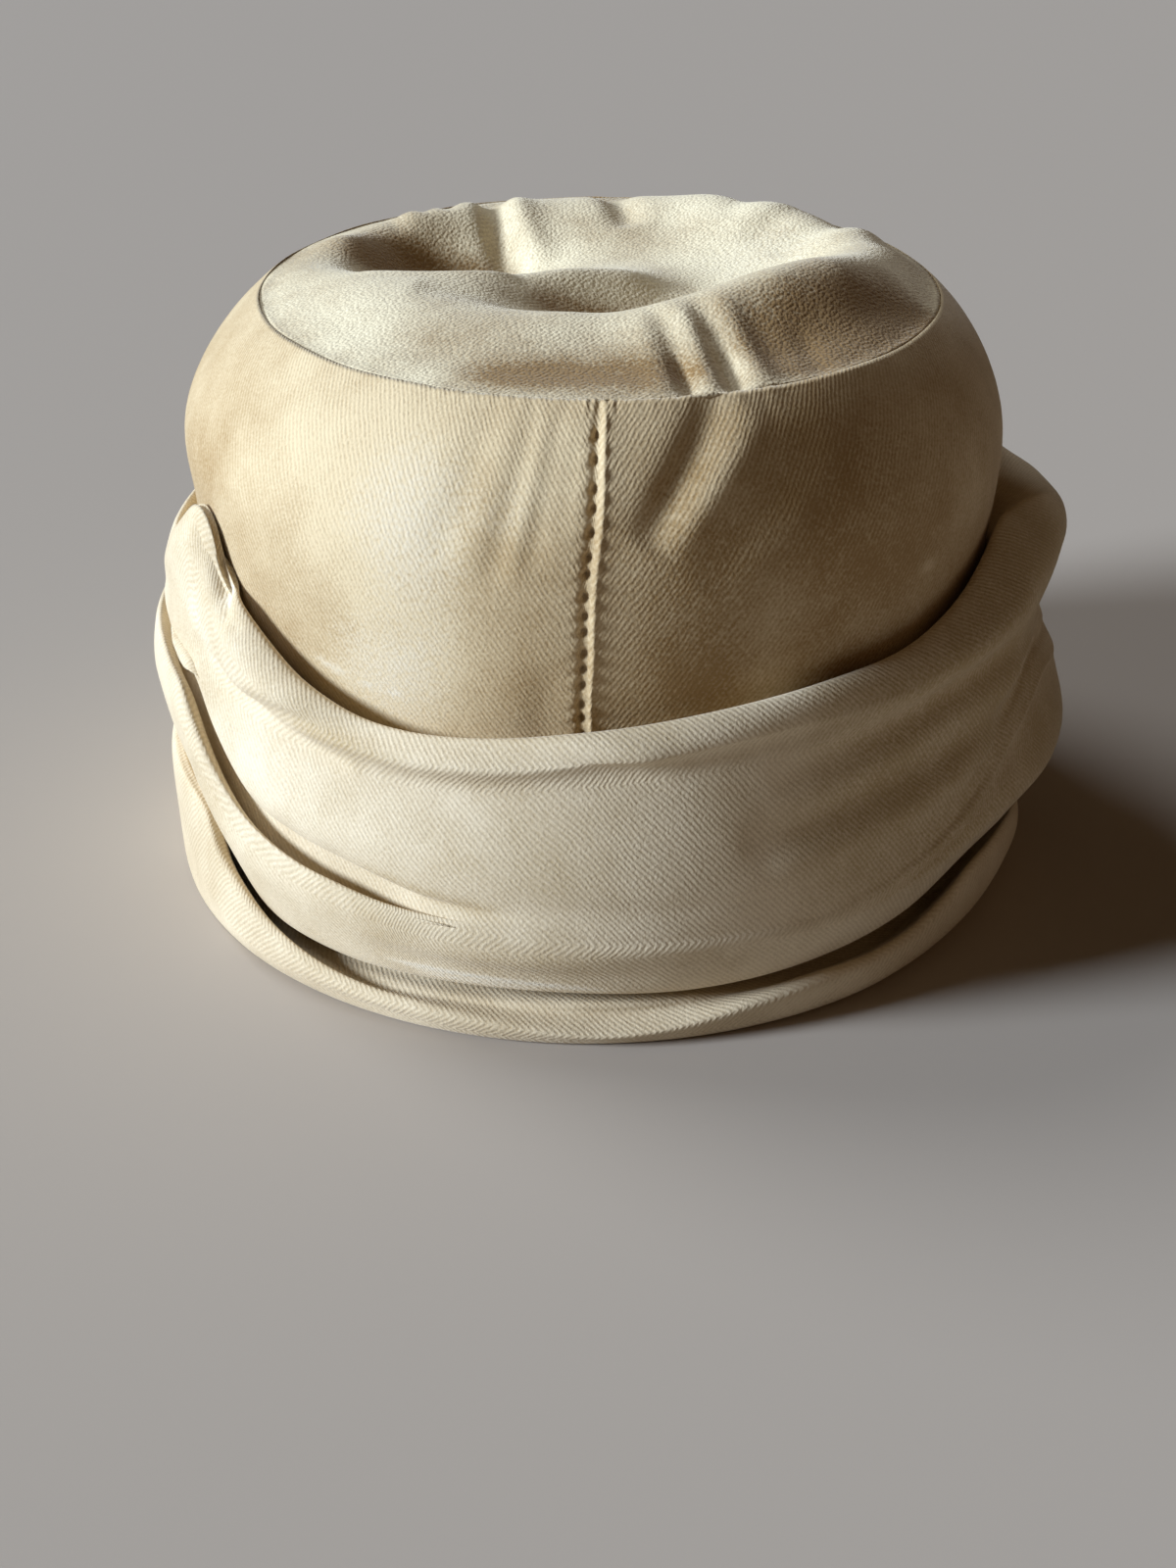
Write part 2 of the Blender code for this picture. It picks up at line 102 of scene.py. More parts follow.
def smooth_through(x, knots, values):
    """Cubic Hermite through the knots: a knot's slope is the mean of its two sides', or 0 at a peak."""
    steps = np.diff(knots)
    slopes = np.diff(values) / steps
    inner = np.where(slopes[:-1] * slopes[1:] > 0, (slopes[:-1] + slopes[1:]) / 2, 0.0)
    most = 3 * np.minimum(abs(slopes[:-1]), abs(slopes[1:]))
    tangents = np.concatenate([[slopes[0]], np.clip(inner, -most, most), [slopes[-1]]])
    i = np.clip(np.searchsorted(knots, x) - 1, 0, len(steps) - 1)
    t = (x - knots[i]) / steps[i]
    return (
        values[i] * (1 + 2 * t) * (1 - t) ** 2
        + tangents[i] * steps[i] * t * (1 - t) ** 2
        + values[i + 1] * t**2 * (3 - 2 * t)
        - tangents[i + 1] * steps[i] * t**2 * (1 - t)
    )


def round_the_hat(table, columns, name, azimuth):
    """A column's value at any azimuth, where the table closes on itself."""
    knots = column(table, columns, "azimuth")
    values = column(table, columns, name)
    return smooth_through(azimuth, np.concatenate([knots - 360, knots, knots + 360]), np.tile(values, 3))


def curves_through(lines, spans):
    """Catmull-Rom sections: lines is (lines, azimuths, 2), and each span between two lines gets its steps.

    Gives the points (azimuths, steps, 2) and each step's row, counted in lines."""
    padded = np.concatenate([2 * lines[:1] - lines[1:2], lines, 2 * lines[-1:] - lines[-2:-1]])
    parts, rows = [], []
    for k, steps in enumerate(spans):
        p0, p1, p2, p3 = padded[k:k + 4, :, None]
        s = (np.arange(steps) / steps)[None, :, None]
        parts.append(0.5 * (2 * p1 + (p2 - p0) * s + (2 * p0 - 5 * p1 + 4 * p2 - p3) * s**2
                            + (3 * p1 - p0 - 3 * p2 + p3) * s**3))
        rows.append(k + s[0, :, 0])
    parts.append(lines[-1][:, None])
    rows.append([len(spans)])
    return np.concatenate(parts, 1), np.concatenate(rows)


def place(azimuth, reach, height):
    """Points (x, y, z): x = axis + lean + reach sin a, y = axis - OVAL reach cos a, all in millimetres."""
    turn = np.radians(azimuth)
    lean = LEAN * np.clip((height - LEAN_FROM) / (SEAM_HEIGHT - LEAN_FROM), 0, 1)
    x = CROWN_AXIS[0] + lean + reach * np.sin(turn)
    y = CROWN_AXIS[1] - OVAL * reach * np.cos(turn)
    return np.stack(np.broadcast_arrays(x, y, height), -1)


# %% [markdown]
# A grid of points becomes a mesh whose columns close round the hat. Each face corner gets a flat
# place in millimetres of cloth, so that a weave can follow the surface at its true pitch. Along a
# folded edge the flat map turns back on itself, which makes the twill meet there in chevrons. The
# map is cut at the front. A Solidify modifier gives the cloth its thickness.

# %% Grids to cloth
NEARLY_NOTHING = 1e-9  # keeps a division or a logarithm away from nothing


def outward(points):
    """Unit normals of a closed grid: the cross product of the steps down the section and round the hat."""
    down = np.gradient(points, axis=1)
    across = np.roll(points, -1, 0) - np.roll(points, 1, 0)
    normals = np.cross(down, across)
    return normals / (np.linalg.norm(normals, axis=-1, keepdims=True) + NEARLY_NOTHING)


def cloth_lengths(points, rows, weave_turns):
    """How far each point lies round the hat from the back, and down its own section.

    The way down changes sign at each of the weave's turns, so that slanting ribs meet there in chevrons."""
    ring = np.linalg.norm(np.roll(points, -1, 0) - points, axis=-1).mean(1)
    along = np.concatenate([[0], np.cumsum(ring)])
    sign = 1 - 2 * (np.searchsorted(weave_turns, rows[:-1], side="right") % 2)
    down = np.linalg.norm(np.diff(points, axis=1), axis=-1) * sign
    down = np.concatenate([np.zeros((len(points), 1)), np.cumsum(down, 1)], 1)
    back = int(np.argmin(points[:, -1, 1]))
    return along - along[back], down


def cloth_piece(name, points, rows=None, weave_turns=(), mirrored=False, wear_and_painted_shading=None, middle=None):
    """A closed grid (azimuths, steps, 3) as a mesh with walls; middle closes the last row to one point."""
    around, across = points.shape[:2]
    rows = np.arange(across) if rows is None else rows
    i, k = np.meshgrid(np.arange(around), np.arange(across - 1), indexing="ij")
    j = (i + 1) % around
    corners = np.stack([i * across + k, i * across + k + 1, j * across + k + 1, j * across + k], -1)
    along, down = cloth_lengths(points, rows, weave_turns)
    along = abs(along) if mirrored else along
    u = np.stack([along[i], along[i], along[i + 1], along[i + 1]], -1)
    v = np.stack([down[i, k], down[i, k + 1], down[j, k + 1], down[j, k]], -1)
    faces = corners.reshape(-1, 4).tolist()
    weave = np.stack([u, v], -1).reshape(-1, 2)
    vertices = points.reshape(-1, 3)
    if middle is not None:
        last = np.arange(around) * across + across - 1
        faces += np.stack([np.roll(last, -1), last, np.full(around, len(vertices))], -1).tolist()
        vertices = np.concatenate([vertices, [middle]])
    mesh = bpy.data.meshes.new(name)
    mesh.from_pydata((vertices * MM).tolist(), [], faces)
    if middle is not None:
        mesh.flip_normals()
        corner_vertex = np.zeros(len(mesh.loops), np.int32)
        mesh.loops.foreach_get("vertex_index", corner_vertex)
        weave = vertices[corner_vertex, :2]
    mesh.uv_layers.new(name="weave").uv.foreach_set("vector", weave.astype(np.float32).ravel())
    # a value per point: scuffs and wear, with painted shade where negative and painted light where positive
    if wear_and_painted_shading is not None:
        wear_and_shading_layer = mesh.attributes.new("wear_and_painted_shading", "FLOAT", "POINT")
        values = np.zeros(len(vertices), np.float32)
        values[:wear_and_painted_shading.size] = wear_and_painted_shading.ravel()
        wear_and_shading_layer.data.foreach_set("value", values)
    mesh.shade_smooth()
    piece = bpy.data.objects.new(name, mesh)
    bpy.context.collection.objects.link(piece)
    wall = piece.modifiers.new("cloth", "SOLIDIFY")
    wall.thickness = CLOTH * MM
    wall.offset = -1.0
    print(name, "cloth faces", len(faces), "grid", points.shape[:2])
    return piece


# %% [markdown]
# ## Soft folds
#
# Drag lines, dents and puckers are pressed into the grids afterwards. Each is one row of a table: a
# line from one place to another that may bow, its half width, and its depth. The pressed depth is
# a bell across the line that fades to nothing at both ends.

# %% Press folds into a surface
FOLD_COLUMNS = ("u_1", "v_1", "u_2", "v_2", "bow", "half_width", "depth")
PATH_POINTS = 33  # a fold's curve is followed in this many points


def pressed(u, v, folds):
    """Depth pressed at places (u, v): depth exp(-(d / half_width)^2) (1 - |2t - 1|^4).

    d is the distance to the nearest point of a fold's quadratic curve, at share t of its length."""
    total = np.zeros(np.broadcast(u, v).shape)
    t = np.linspace(0, 1, PATH_POINTS)
    for row in folds:
        f = dict(zip(FOLD_COLUMNS, row))
        start, end = np.array([f["u_1"], f["v_1"]]), np.array([f["u_2"], f["v_2"]])
        side = np.array([start[1] - end[1], end[0] - start[0]])
        bend = (start + end) / 2 + side * f["bow"]
        path = start * (1 - t[:, None]) ** 2 + 2 * bend * (t * (1 - t))[:, None] + end * t[:, None] ** 2
        best = np.full(total.shape, np.inf)
        share = np.zeros(total.shape)
        for (a, b), s, gap in zip(zip(path[:-1], path[1:]), t[:-1], np.diff(t)):
            run = b - a
            along = np.clip(((u - a[0]) * run[0] + (v - a[1]) * run[1]) / (run @ run), 0, 1)
            d = np.hypot(u - a[0] - along * run[0], v - a[1] - along * run[1])
            nearer = d < best
            best = np.where(nearer, d, best)
            share = np.where(nearer, s + along * gap, share)
        fade = 1 - np.abs(2 * share - 1) ** 4
        total += f["depth"] * fade * np.exp(-((best / f["half_width"]) ** 2))
    return total


# %% [markdown]
# ## The crown's side
#
# The side band is a strip of bias-cut velvet, eased to bulge, and joined at the back by a hand-sewn
# seam. Its grid has close columns near the seam, so that the seam's groove and its raised edge can
# be real shape. At the top it turns down inside, as a seam allowance does.

# %% Crown side
WALL_COLUMNS = ("height", "reach")
WALL = (
    (0.0, 89.0), (22.0, 92.5), (50.0, 98.5), (76.0, 104.0), (96.0, 107.8), (114.0, 109.3),
    (127.0, 108.0), (139.0, 103.2), (149.0, 96.4), (154.5, 91.0), (156.7, 88.4),
)
SOFT_FOLD_COLUMNS = ("azimuth", "height", "half_turn", "half_height", "depth")
SOFT_FOLDS = ((-84.0, 106.0, 32.0, 15.0, 4.0),)
SIDE_FOLDS = (
    # millimetres round the wall from the back seam, height
    (-11, 158, -15, 122, 0.04, 3.0, 0.7),
    (-17, 158, -23, 118, 0.04, 3.5, 0.8),
    (-14, 158, -19, 118, 0.04, 2.6, -0.4),
    (-28, 158, -36, 122, 0.04, 5.0, 0.6),
    (-6, 152, -8, 130, 0.0, 2.2, 0.4),
    (11, 128, 34, 158, 0.06, 4.5, 2.4),
    (16, 126, 44, 154, 0.06, 4.0, -1.0),
    (24, 118, 60, 148, 0.06, 6.0, 0.7),
    (-8, 100, -12, 72, 0.0, 5.0, 0.5),
)
SIDE_SCUFFS_AND_PAINTED_SHADING = (
    # narrow positive rows are lighter marks and scuffs, and two browner patches at the left are negative;
    # the three wide negative rows at the right are painted shade on the wall's shaded right half, and the
    # wide positive row at the left is painted light on its lit side
    (-70, 90.5, -62, 88, 0.0, 1.2, 0.5),
    (-59, 87, -54, 86.5, 0.1, 0.9, 0.6),
    (-50, 86, -46, 87, 0.0, 0.9, 0.5),
    (-64, 120, -40, 100, 0.1, 12.0, -0.3),
    (-150, 128, -110, 118, 0.1, 12.0, -0.35),
    (-42, 154, -50, 70, 0.0, 19.0, 0.7),
    (-14, 146, -20, 128, 0.0, 7.0, 0.25),
    (20, 132, 46, 156, 0.05, 2.4, 0.3),
    (16, 152, 26, 60, 0.05, 15.0, -0.75),
    (56, 162, 66, 60, 0.05, 24.0, -0.7),
    (110, 160, 110, 60, 0.0, 26.0, -0.45),
    (90, 110, 92, 107, 0.0, 1.2, 0.6),
)
MEAN_REACH = 106.0
WALL_TOP = WALL[-1][0]


def wall_reach(height):
    """How far the side wall stands from the axis."""
    return smooth_through(height, column(WALL, WALL_COLUMNS, "height"), column(WALL, WALL_COLUMNS, "reach"))


def pulled_in(azimuth, height):
    """How far the band pulls the wall in: depth exp(-(turn / half_turn)^2 - (rise / half_height)^2)."""
    depth = 0.0
    for row in SOFT_FOLDS:
        f = dict(zip(SOFT_FOLD_COLUMNS, row))
        turn = ((azimuth - f["azimuth"] + 180) % 360 - 180) / f["half_turn"]
        rise = (height - f["height"]) / f["half_height"]
        depth = depth + f["depth"] * np.exp(-(turn**2) - rise**2)
    return depth


# %% Close columns near the back seam
SIDE_ROWS = 205
SPACING = ((5.0, 0.26), (50.0, 1.6), (math.pi * MEAN_REACH, 4.6))  # out to this, a column every so much


def seam_spaced():
    """Distances round the wall from -pi r to pi r, in millimetres, close together near the seam."""
    half, start = [], 0.0
    for end, step in SPACING:
        half.append(np.linspace(start, end, round((end - start) / step), endpoint=False))
        start = end
    half = np.concatenate(half)
    return np.concatenate([-np.append(half[1:], start)[::-1], half])


round_wall = seam_spaced()[:, None]
side_azimuth = np.degrees(round_wall / MEAN_REACH)
side_height = np.linspace(WALL_TOP, 0, SIDE_ROWS)[None, :]
side_reach = wall_reach(side_height) - pulled_in(side_azimuth, side_height)
side_reach = side_reach - pressed(round_wall, side_height, SIDE_FOLDS)

# %% [markdown]
# The back seam laps the right half over the left. Its folded edge stands up as a soft, lumpy welt,
# and slip stitches pull a row of small pits beside it, each with a tuck in the cloth at its left.

# %% Back seam
STITCH_PITCH = 4.7
FIRST_STITCH = 150.0
LAST_STITCH = 70.0
UNEVEN_HEIGHT, UNEVEN_TURN = 0.5, 2.3  # a hand's unevenness from stitch to stitch
SEAM_AT_TOP, SEAM_DRIFT, DRIFT_HEIGHT = 1.6, 0.9, 75  # right of the middle, then drifting left
WAVER, WAVER_HEIGHT = 0.25, 5.1
WELT_HEIGHT, WELT_HALF = 0.85, 0.8
WELT_MEAN, WELT_LUMP, LUMP_TURN = 0.66, 0.34, 2.4  # the welt swells once a stitch
LAP_HEIGHT, LAP_FADE, LAP_EDGE = 0.35, 3.5, 0.25
GROOVE_DEPTH, GROOVE_HALF = 0.5, 1.3
PIT_DEPTH, PIT_HALF, PIT_HALF_HEIGHT = 1.7, 0.95, 1.1
PITS_LEFT_OF_WELT = 2.2
TUCK_DEPTH, TUCK_HALF, TUCK_HALF_LENGTH = 0.35, 0.7, 1.7
TUCK_LEFT_OF_PIT, TUCK_SLANT, TUCK_REACH = 1.6, 0.45, 6

across_seam = round_wall * OVAL
drift = SEAM_DRIFT * (WALL_TOP - side_height) / DRIFT_HEIGHT
seam_line = SEAM_AT_TOP - drift + WAVER * np.sin(side_height / WAVER_HEIGHT)
from_welt = across_seam - seam_line
stitch_turn = (side_height - FIRST_STITCH) * 2 * np.pi / STITCH_PITCH
lumps = WELT_MEAN + WELT_LUMP * np.cos(stitch_turn + LUMP_TURN)
welt = WELT_HEIGHT * lumps * np.exp(-((from_welt / WELT_HALF) ** 2))
lap = LAP_HEIGHT * np.exp(-((np.clip(from_welt, 0, None) / LAP_FADE) ** 2))
lap = lap / (1 + np.exp(-from_welt / LAP_EDGE))
from_pits = from_welt + PITS_LEFT_OF_WELT
groove = GROOVE_DEPTH * np.exp(-((from_pits / GROOVE_HALF) ** 2))
pits = np.zeros(side_reach.shape)
tucks = np.zeros(side_reach.shape)
stitch_heights = np.arange(FIRST_STITCH, LAST_STITCH, -STITCH_PITCH)
stitch_heights = stitch_heights + UNEVEN_HEIGHT * np.sin(np.arange(len(stitch_heights)) * UNEVEN_TURN)
for stitch in stitch_heights:
    pits += np.exp(-((from_pits / PIT_HALF) ** 2) - ((side_height - stitch) / PIT_HALF_HEIGHT) ** 2)
    slant = side_height - stitch - TUCK_SLANT * np.clip(from_pits, -TUCK_REACH, 0)
    beside = (from_pits + TUCK_LEFT_OF_PIT) / TUCK_HALF_LENGTH
    tucks += np.exp(-((slant / TUCK_HALF) ** 2)) * np.exp(-beside ** 2)
side_reach = side_reach + welt + lap - groove - PIT_DEPTH * pits - TUCK_DEPTH * tucks
print("back seam with", len(stitch_heights), "slip stitches")

# %% Side wall mesh
GATHER_PITCH = 2.4  # small scallops where the top is eased into the side
GATHER_DEPTH, GATHER_HEIGHT, GATHER_HALF = 0.16, 156, 1.6
side_top = GATHER_DEPTH * np.sin(2 * np.pi * round_wall / GATHER_PITCH)
side_top = side_top * np.exp(-(((side_height - GATHER_HEIGHT) / GATHER_HALF) ** 2))
side_points = place(side_azimuth, side_reach, side_height + side_top)
ALLOWANCE_TOP = SEAM_HEIGHT - 0.4
ALLOWANCE_DROP = np.array([[3.4, 1.2]])
ALLOWANCE_IN = np.array([[0.8, 0.3]])
allowance = place(side_azimuth, side_reach[:, :1] - ALLOWANCE_IN, ALLOWANCE_TOP - ALLOWANCE_DROP)
side_points = np.concatenate([allowance, side_points], 1)
# scuffs and marks, with painted shade on the right half and painted light on the left
side_scuffs_and_painted_shading = pressed(round_wall, side_points[..., 2], SIDE_SCUFFS_AND_PAINTED_SHADING)
crown_side = cloth_piece("crown_side_velvet", side_points, mirrored=True, wear_and_painted_shading=side_scuffs_and_painted_shading)

# %% [markdown]
# ## The soft top
#
# The top has nothing to hold it up, so it has sunk into a deep hollow at the left and a basin in the
# middle, with soft crests between them. A short table gives the height at the places that matter,
# and a thin plate bent through them gives the rest, much as cloth would bend. Sharper creases and
# the puckers at the seam are pressed in afterwards.

# %% A plate bent through places
def plate_kernel(u, v):
    """r^2 log r for every pair of places u and v."""
    squared = ((u[:, None] - v[None, :]) ** 2).sum(-1)
    return 0.5 * squared * np.log(squared + NEARLY_NOTHING)


def plate_through(places, heights, softness=30.0):
    """Thin plate: h(p) = a + b p + sum w_i r_i^2 log r_i, nearly through the given heights."""
    n = len(places)
    flat = np.hstack([np.ones((n, 1)), places])
    bending = plate_kernel(places, places) + softness * np.eye(n)
    system = np.block([[bending, flat], [flat.T, np.zeros((3, 3))]])
    solved = np.linalg.solve(system, np.concatenate([heights, np.zeros(3)]))

    def height(right, forward):
        at = np.stack(np.broadcast_arrays(right, forward), -1).reshape(-1, 2)
        bent = plate_kernel(at, places) @ solved[:n] + solved[n] + at @ solved[n + 1:]
        return bent.reshape(np.broadcast(right, forward).shape)

    return height


# %% Crown tip
PLACE_COLUMNS = ("right", "forward", "height")
TIP_PLACES = (
    # the rim over the near seam, then the left and the far rim
    (-62, -38, 161.4), (-38, -62, 160.4), (-8, -72, 159.4), (24, -73, 159.4), (50, -60, 159.6),
    (73, -33, 160.2),
    (-76, 4, 161.0), (-70, 34, 163.0), (-52, 58, 163.6), (-36, 71, 163.0), (4, 74, 162.8), (34, 76, 163.8),
    (58, 62, 165.6), (76, 36, 165.2), (83, 12, 163.6),
    # the crest between the hollow and the basin
    (-60, -5, 162.2), (-49, -10, 162.6), (-38, -11, 162.8), (-26, -5, 161.6), (-8, 4, 159.6), (8, 8, 157.4),
    # the hollow at the left
    (-56, 16, 152.0), (-44, 22, 146.4), (-34, 34, 145.0), (-46, 42, 148.5), (-22, 24, 149.5),
    (-16, 44, 152.0),
    # the basin and the bright slope at its right
    (-14, -17, 155.6), (2, -14, 150.4), (14, -14, 149.6), (4, -27, 153.0), (22, -2, 150.6), (6, 30, 153.6),
    (34, 8, 153.6), (28, 34, 155.6), (54, 14, 159.2), (52, 38, 160.4), (20, 56, 159.4),
    # the crest at the basin's near side, and the steep fall beyond it
    (-26, -47, 163.4), (-8, -46, 164.2), (14, -48, 166.8), (29, -45, 169.2), (42, -38, 171.4),
    (58, -27, 171.0),
    (72, -12, 166.4), (34, -57, 163.0), (50, -49, 163.4), (65, -38, 163.0), (0, -60, 162.0),
)
SEAM_PLACES = 36
TIP_FOLDS = (
    # right and forward of the top's middle; a negative depth is a crest
    (-30, 84, -20, 34, -0.12, 4.5, 4.0),
    (-26, 84, -14, 40, -0.12, 5.0, -1.6),
    (2, 88, 9, 54, 0.0, 4.5, 2.6),
    (8, -54, 14, -98, 0.08, 3.2, -0.5),
    (11, -46, 21, -99, 0.08, 2.6, 0.9),
    (16.5, -66, 21, -99, 0.04, 1.5, 1.2),
    (18, -50, 26, -99, 0.08, 2.8, -1.0),
    (21, -44, 32, -99, 0.08, 2.8, 1.3),
    (27.5, -64, 32.5, -99, 0.04, 1.7, 1.5),
    (28, -46, 39, -99, 0.08, 3.4, -1.3),
    (46, -50, 52, -82, 0.04, 3.0, 0.5),
    (-62, -6, -20, -4, -0.12, 4.0, -1.2),
    (-20, -4, 16, 10, 0.10, 5.0, -1.0),
    (-46, -22, -12, -30, 0.05, 8.0, 1.2),
    (66, 70, 40, 36, 0.0, 4.5, 0.9),
    (78, 50, 46, 26, 0.0, 5.0, 1.0),
    (50, 82, 34, 50, 0.0, 4.5, 0.8),
    (-44, 84, -42, 60, 0.0, 2.6, 1.2),
    (-52, 78, -48, 56, 0.0, 2.4, 0.9),
    (-62, 68, -54, 48, 0.0, 2.8, 0.8),
)
TIP_PAINTED_SHADING = (
    # painted shading: negative rows are painted shade on the near right slope, the hollow, the basin and
    # the near rim, which lie in shade; the positive row is painted light on the bright slope right of the
    # basin
    (30, -68, 88, -24, -0.06, 15.0, -1.5),
    (-70, 34, -20, 34, 0.0, 15.0, -1.3),
    (-20, -12, 20, -14, 0.0, 9.0, -1.0),
    (-40, -78, 30, -78, 0.0, 9.0, -0.9),
    (20, 20, 70, 40, 0.0, 22.0, 0.4),
)
TIP_COLUMNS = 330
TIP_ROWS = 72
TIP_LAP = 1.35  # the top runs this far past the seam line, onto the side's upper edge
TIP_REACH = SEAM_REACH + TIP_LAP
EDGE_DROP = 0.55
HELD_POWER = 10  # the plate is drawn down to the seam only close to it
FOLDS_HELD_POWER = 40  # the puckers run almost into the seam
PUFF_HEIGHT, PUFF_SHARE, PUFF_WIDTH = 0.6, 0.93, 0.05

seam_turn = np.arange(SEAM_PLACES) * 2 * math.pi / SEAM_PLACES
seam_ring = np.stack([SEAM_REACH * np.sin(seam_turn), SEAM_REACH * OVAL * np.cos(seam_turn)], -1)
tip_places = np.concatenate([seam_ring, np.array(TIP_PLACES)[:, :2]])
seam_heights = np.full(SEAM_PLACES, SEAM_HEIGHT)
tip_heights = np.concatenate([seam_heights, column(TIP_PLACES, PLACE_COLUMNS, "height")])
tip_plate = plate_through(tip_places, tip_heights)


def tip_height(azimuth, share):
    """The plate's height, drawn to the seam height at the edge, less the folds; share is 1 at the seam."""
    turn = np.radians(azimuth)
    right = share * SEAM_REACH * np.sin(turn)
    forward = -share * SEAM_REACH * OVAL * np.cos(turn)
    held = 1 - share**HELD_POWER
    held_folds = 1 - share**FOLDS_HELD_POWER
    puff = PUFF_HEIGHT * np.exp(-(((share - PUFF_SHARE) / PUFF_WIDTH) ** 2))
    over_seam = tip_plate(right, forward) + puff - SEAM_HEIGHT
    folds = pressed(right, forward, TIP_FOLDS)
    return SEAM_HEIGHT - EDGE_DROP + held * over_seam - held_folds * folds


# %% Crown tip mesh
EASING_HEIGHT, EASING_TURN, EASING_SHARE, EASING_WIDTH = 0.12, 2.0, 0.97, 0.012
TIP_EDGE_IN = np.array([[1.4, 0.4]])
TIP_EDGE_DROP = np.array([[4.0, 1.7]])
tip_azimuth = np.linspace(-180, 180, TIP_COLUMNS, endpoint=False)[:, None]
tip_share = 1 - np.linspace(0, 1, TIP_ROWS, endpoint=False)[None, :]
tip_rise = tip_height(tip_azimuth, tip_share)
gather_turn = 2 * np.pi * np.radians(tip_azimuth) * MEAN_REACH / GATHER_PITCH
easing = EASING_HEIGHT * np.sin(gather_turn + EASING_TURN)
tip_rise = tip_rise + easing * np.exp(-(((tip_share - EASING_SHARE) / EASING_WIDTH) ** 2))
tip_points = place(tip_azimuth, tip_share * TIP_REACH, tip_rise)
tip_edge = place(tip_azimuth, TIP_REACH - TIP_EDGE_IN, SEAM_HEIGHT - TIP_EDGE_DROP)
tip_points = np.concatenate([tip_edge, tip_points], 1)
middle_share = np.zeros((1, 1))
tip_middle = place(middle_share, middle_share, tip_height(middle_share, middle_share))[0, 0]
tip_right = tip_points[..., 0] - CROWN_AXIS[0] - LEAN
# painted shade and painted light over the top's shaded and lit places
tip_painted_shading = pressed(tip_right, tip_points[..., 1] - CROWN_AXIS[1], TIP_PAINTED_SHADING)
crown_tip = cloth_piece("crown_tip_velvet", tip_points, wear_and_painted_shading=tip_painted_shading, middle=tip_middle)

# %% [markdown]
# ## The swathed band
#
# One wide bias strip goes round the crown. Its top edge is a soft roll that is tacked to the crown
# at the left and stands out as a corner at the right. Under the roll lies a crease, then a wide
# belly. At the left a pleat opens, and the strip comes out again as a second fold before it turns
# under above the cuff.

# %% Swathed band
ROLL_COLUMNS = (
    "azimuth", "ridge_height", "ridge_reach", "brow_height", "brow_reach",
    "crease_height", "crease_reach",
)
ROLL = (
    (-180, 112, 114.5, 104, 121.0, 90, 120.0),
    (-150, 107, 114.0, 101, 119.0, 88, 118.0),
    (-120, 98, 112.5, 91, 116.0, 84, 115.4),
    (-100, 93.5, 111.3, 87, 114.6, 81.5, 114.8),
    (-85, 95.5, 111.3, 87.5, 114.6, 81, 114.9),
    (-75, 101, 111.0, 94, 114.6, 86, 115.0),
    (-68, 110, 110.0, 103, 114.6, 90, 115.2),
    (-62, 116, 108.6, 107, 114.0, 88, 115.0),
    (-58.5, 112.5, 108.4, 102, 113.8, 83, 115.2),
    (-56, 106, 108.7, 98, 114.4, 79, 115.6),
    (-53, 101, 109.4, 93, 115.6, 75.5, 115.7),
    (-49.5, 99, 112.0, 90, 117.6, 73.5, 115.8),
    (-45, 94, 112.5, 86, 118.2, 71.5, 115.8),
    (-38, 86.5, 112.8, 80.5, 118.2, 70, 115.8),
    (-30, 82, 112.8, 77, 118.0, 69, 115.6),
    (-22, 80.8, 112.8, 75.5, 118.0, 68, 115.6),
    (-12, 82, 112.8, 76.5, 118.0, 69, 115.6),
    (0, 84.5, 112.8, 79, 118.0, 72, 115.8),
    (15, 88, 112.8, 82, 118.3, 74.5, 116.6),
    (30, 90.5, 113.0, 84.5, 118.8, 76, 117.2),
    (44, 92, 113.2, 86, 119.6, 75.5, 118.0),
    (56, 96.5, 112.8, 88, 121.2, 76, 119.4),
    (66, 101.5, 112.2, 91, 123.0, 77, 121.2),
    (74, 105, 113.0, 93, 125.0, 77, 122.2),
    (82, 104.5, 119.5, 93.5, 128.0, 75, 123.4),
    (90, 100.5, 126.0, 91, 130.8, 73, 125.8),
    (99, 98.5, 126.0, 91, 130.4, 74, 127.2),
    (108, 100.5, 121.0, 93, 128.6, 78, 127.2),
    (125, 111, 115.5, 101, 126.0, 86, 125.0),
    (152, 114, 115.0, 105, 123.5, 90, 122.5),
)
BODY_COLUMNS = (
    "azimuth", "belly_height", "belly_reach", "pleat", "turn_in_height", "turn_in_reach",
    "fold_height", "fold_reach", "lower_height", "lower_reach", "turn_height", "turn_reach",
)
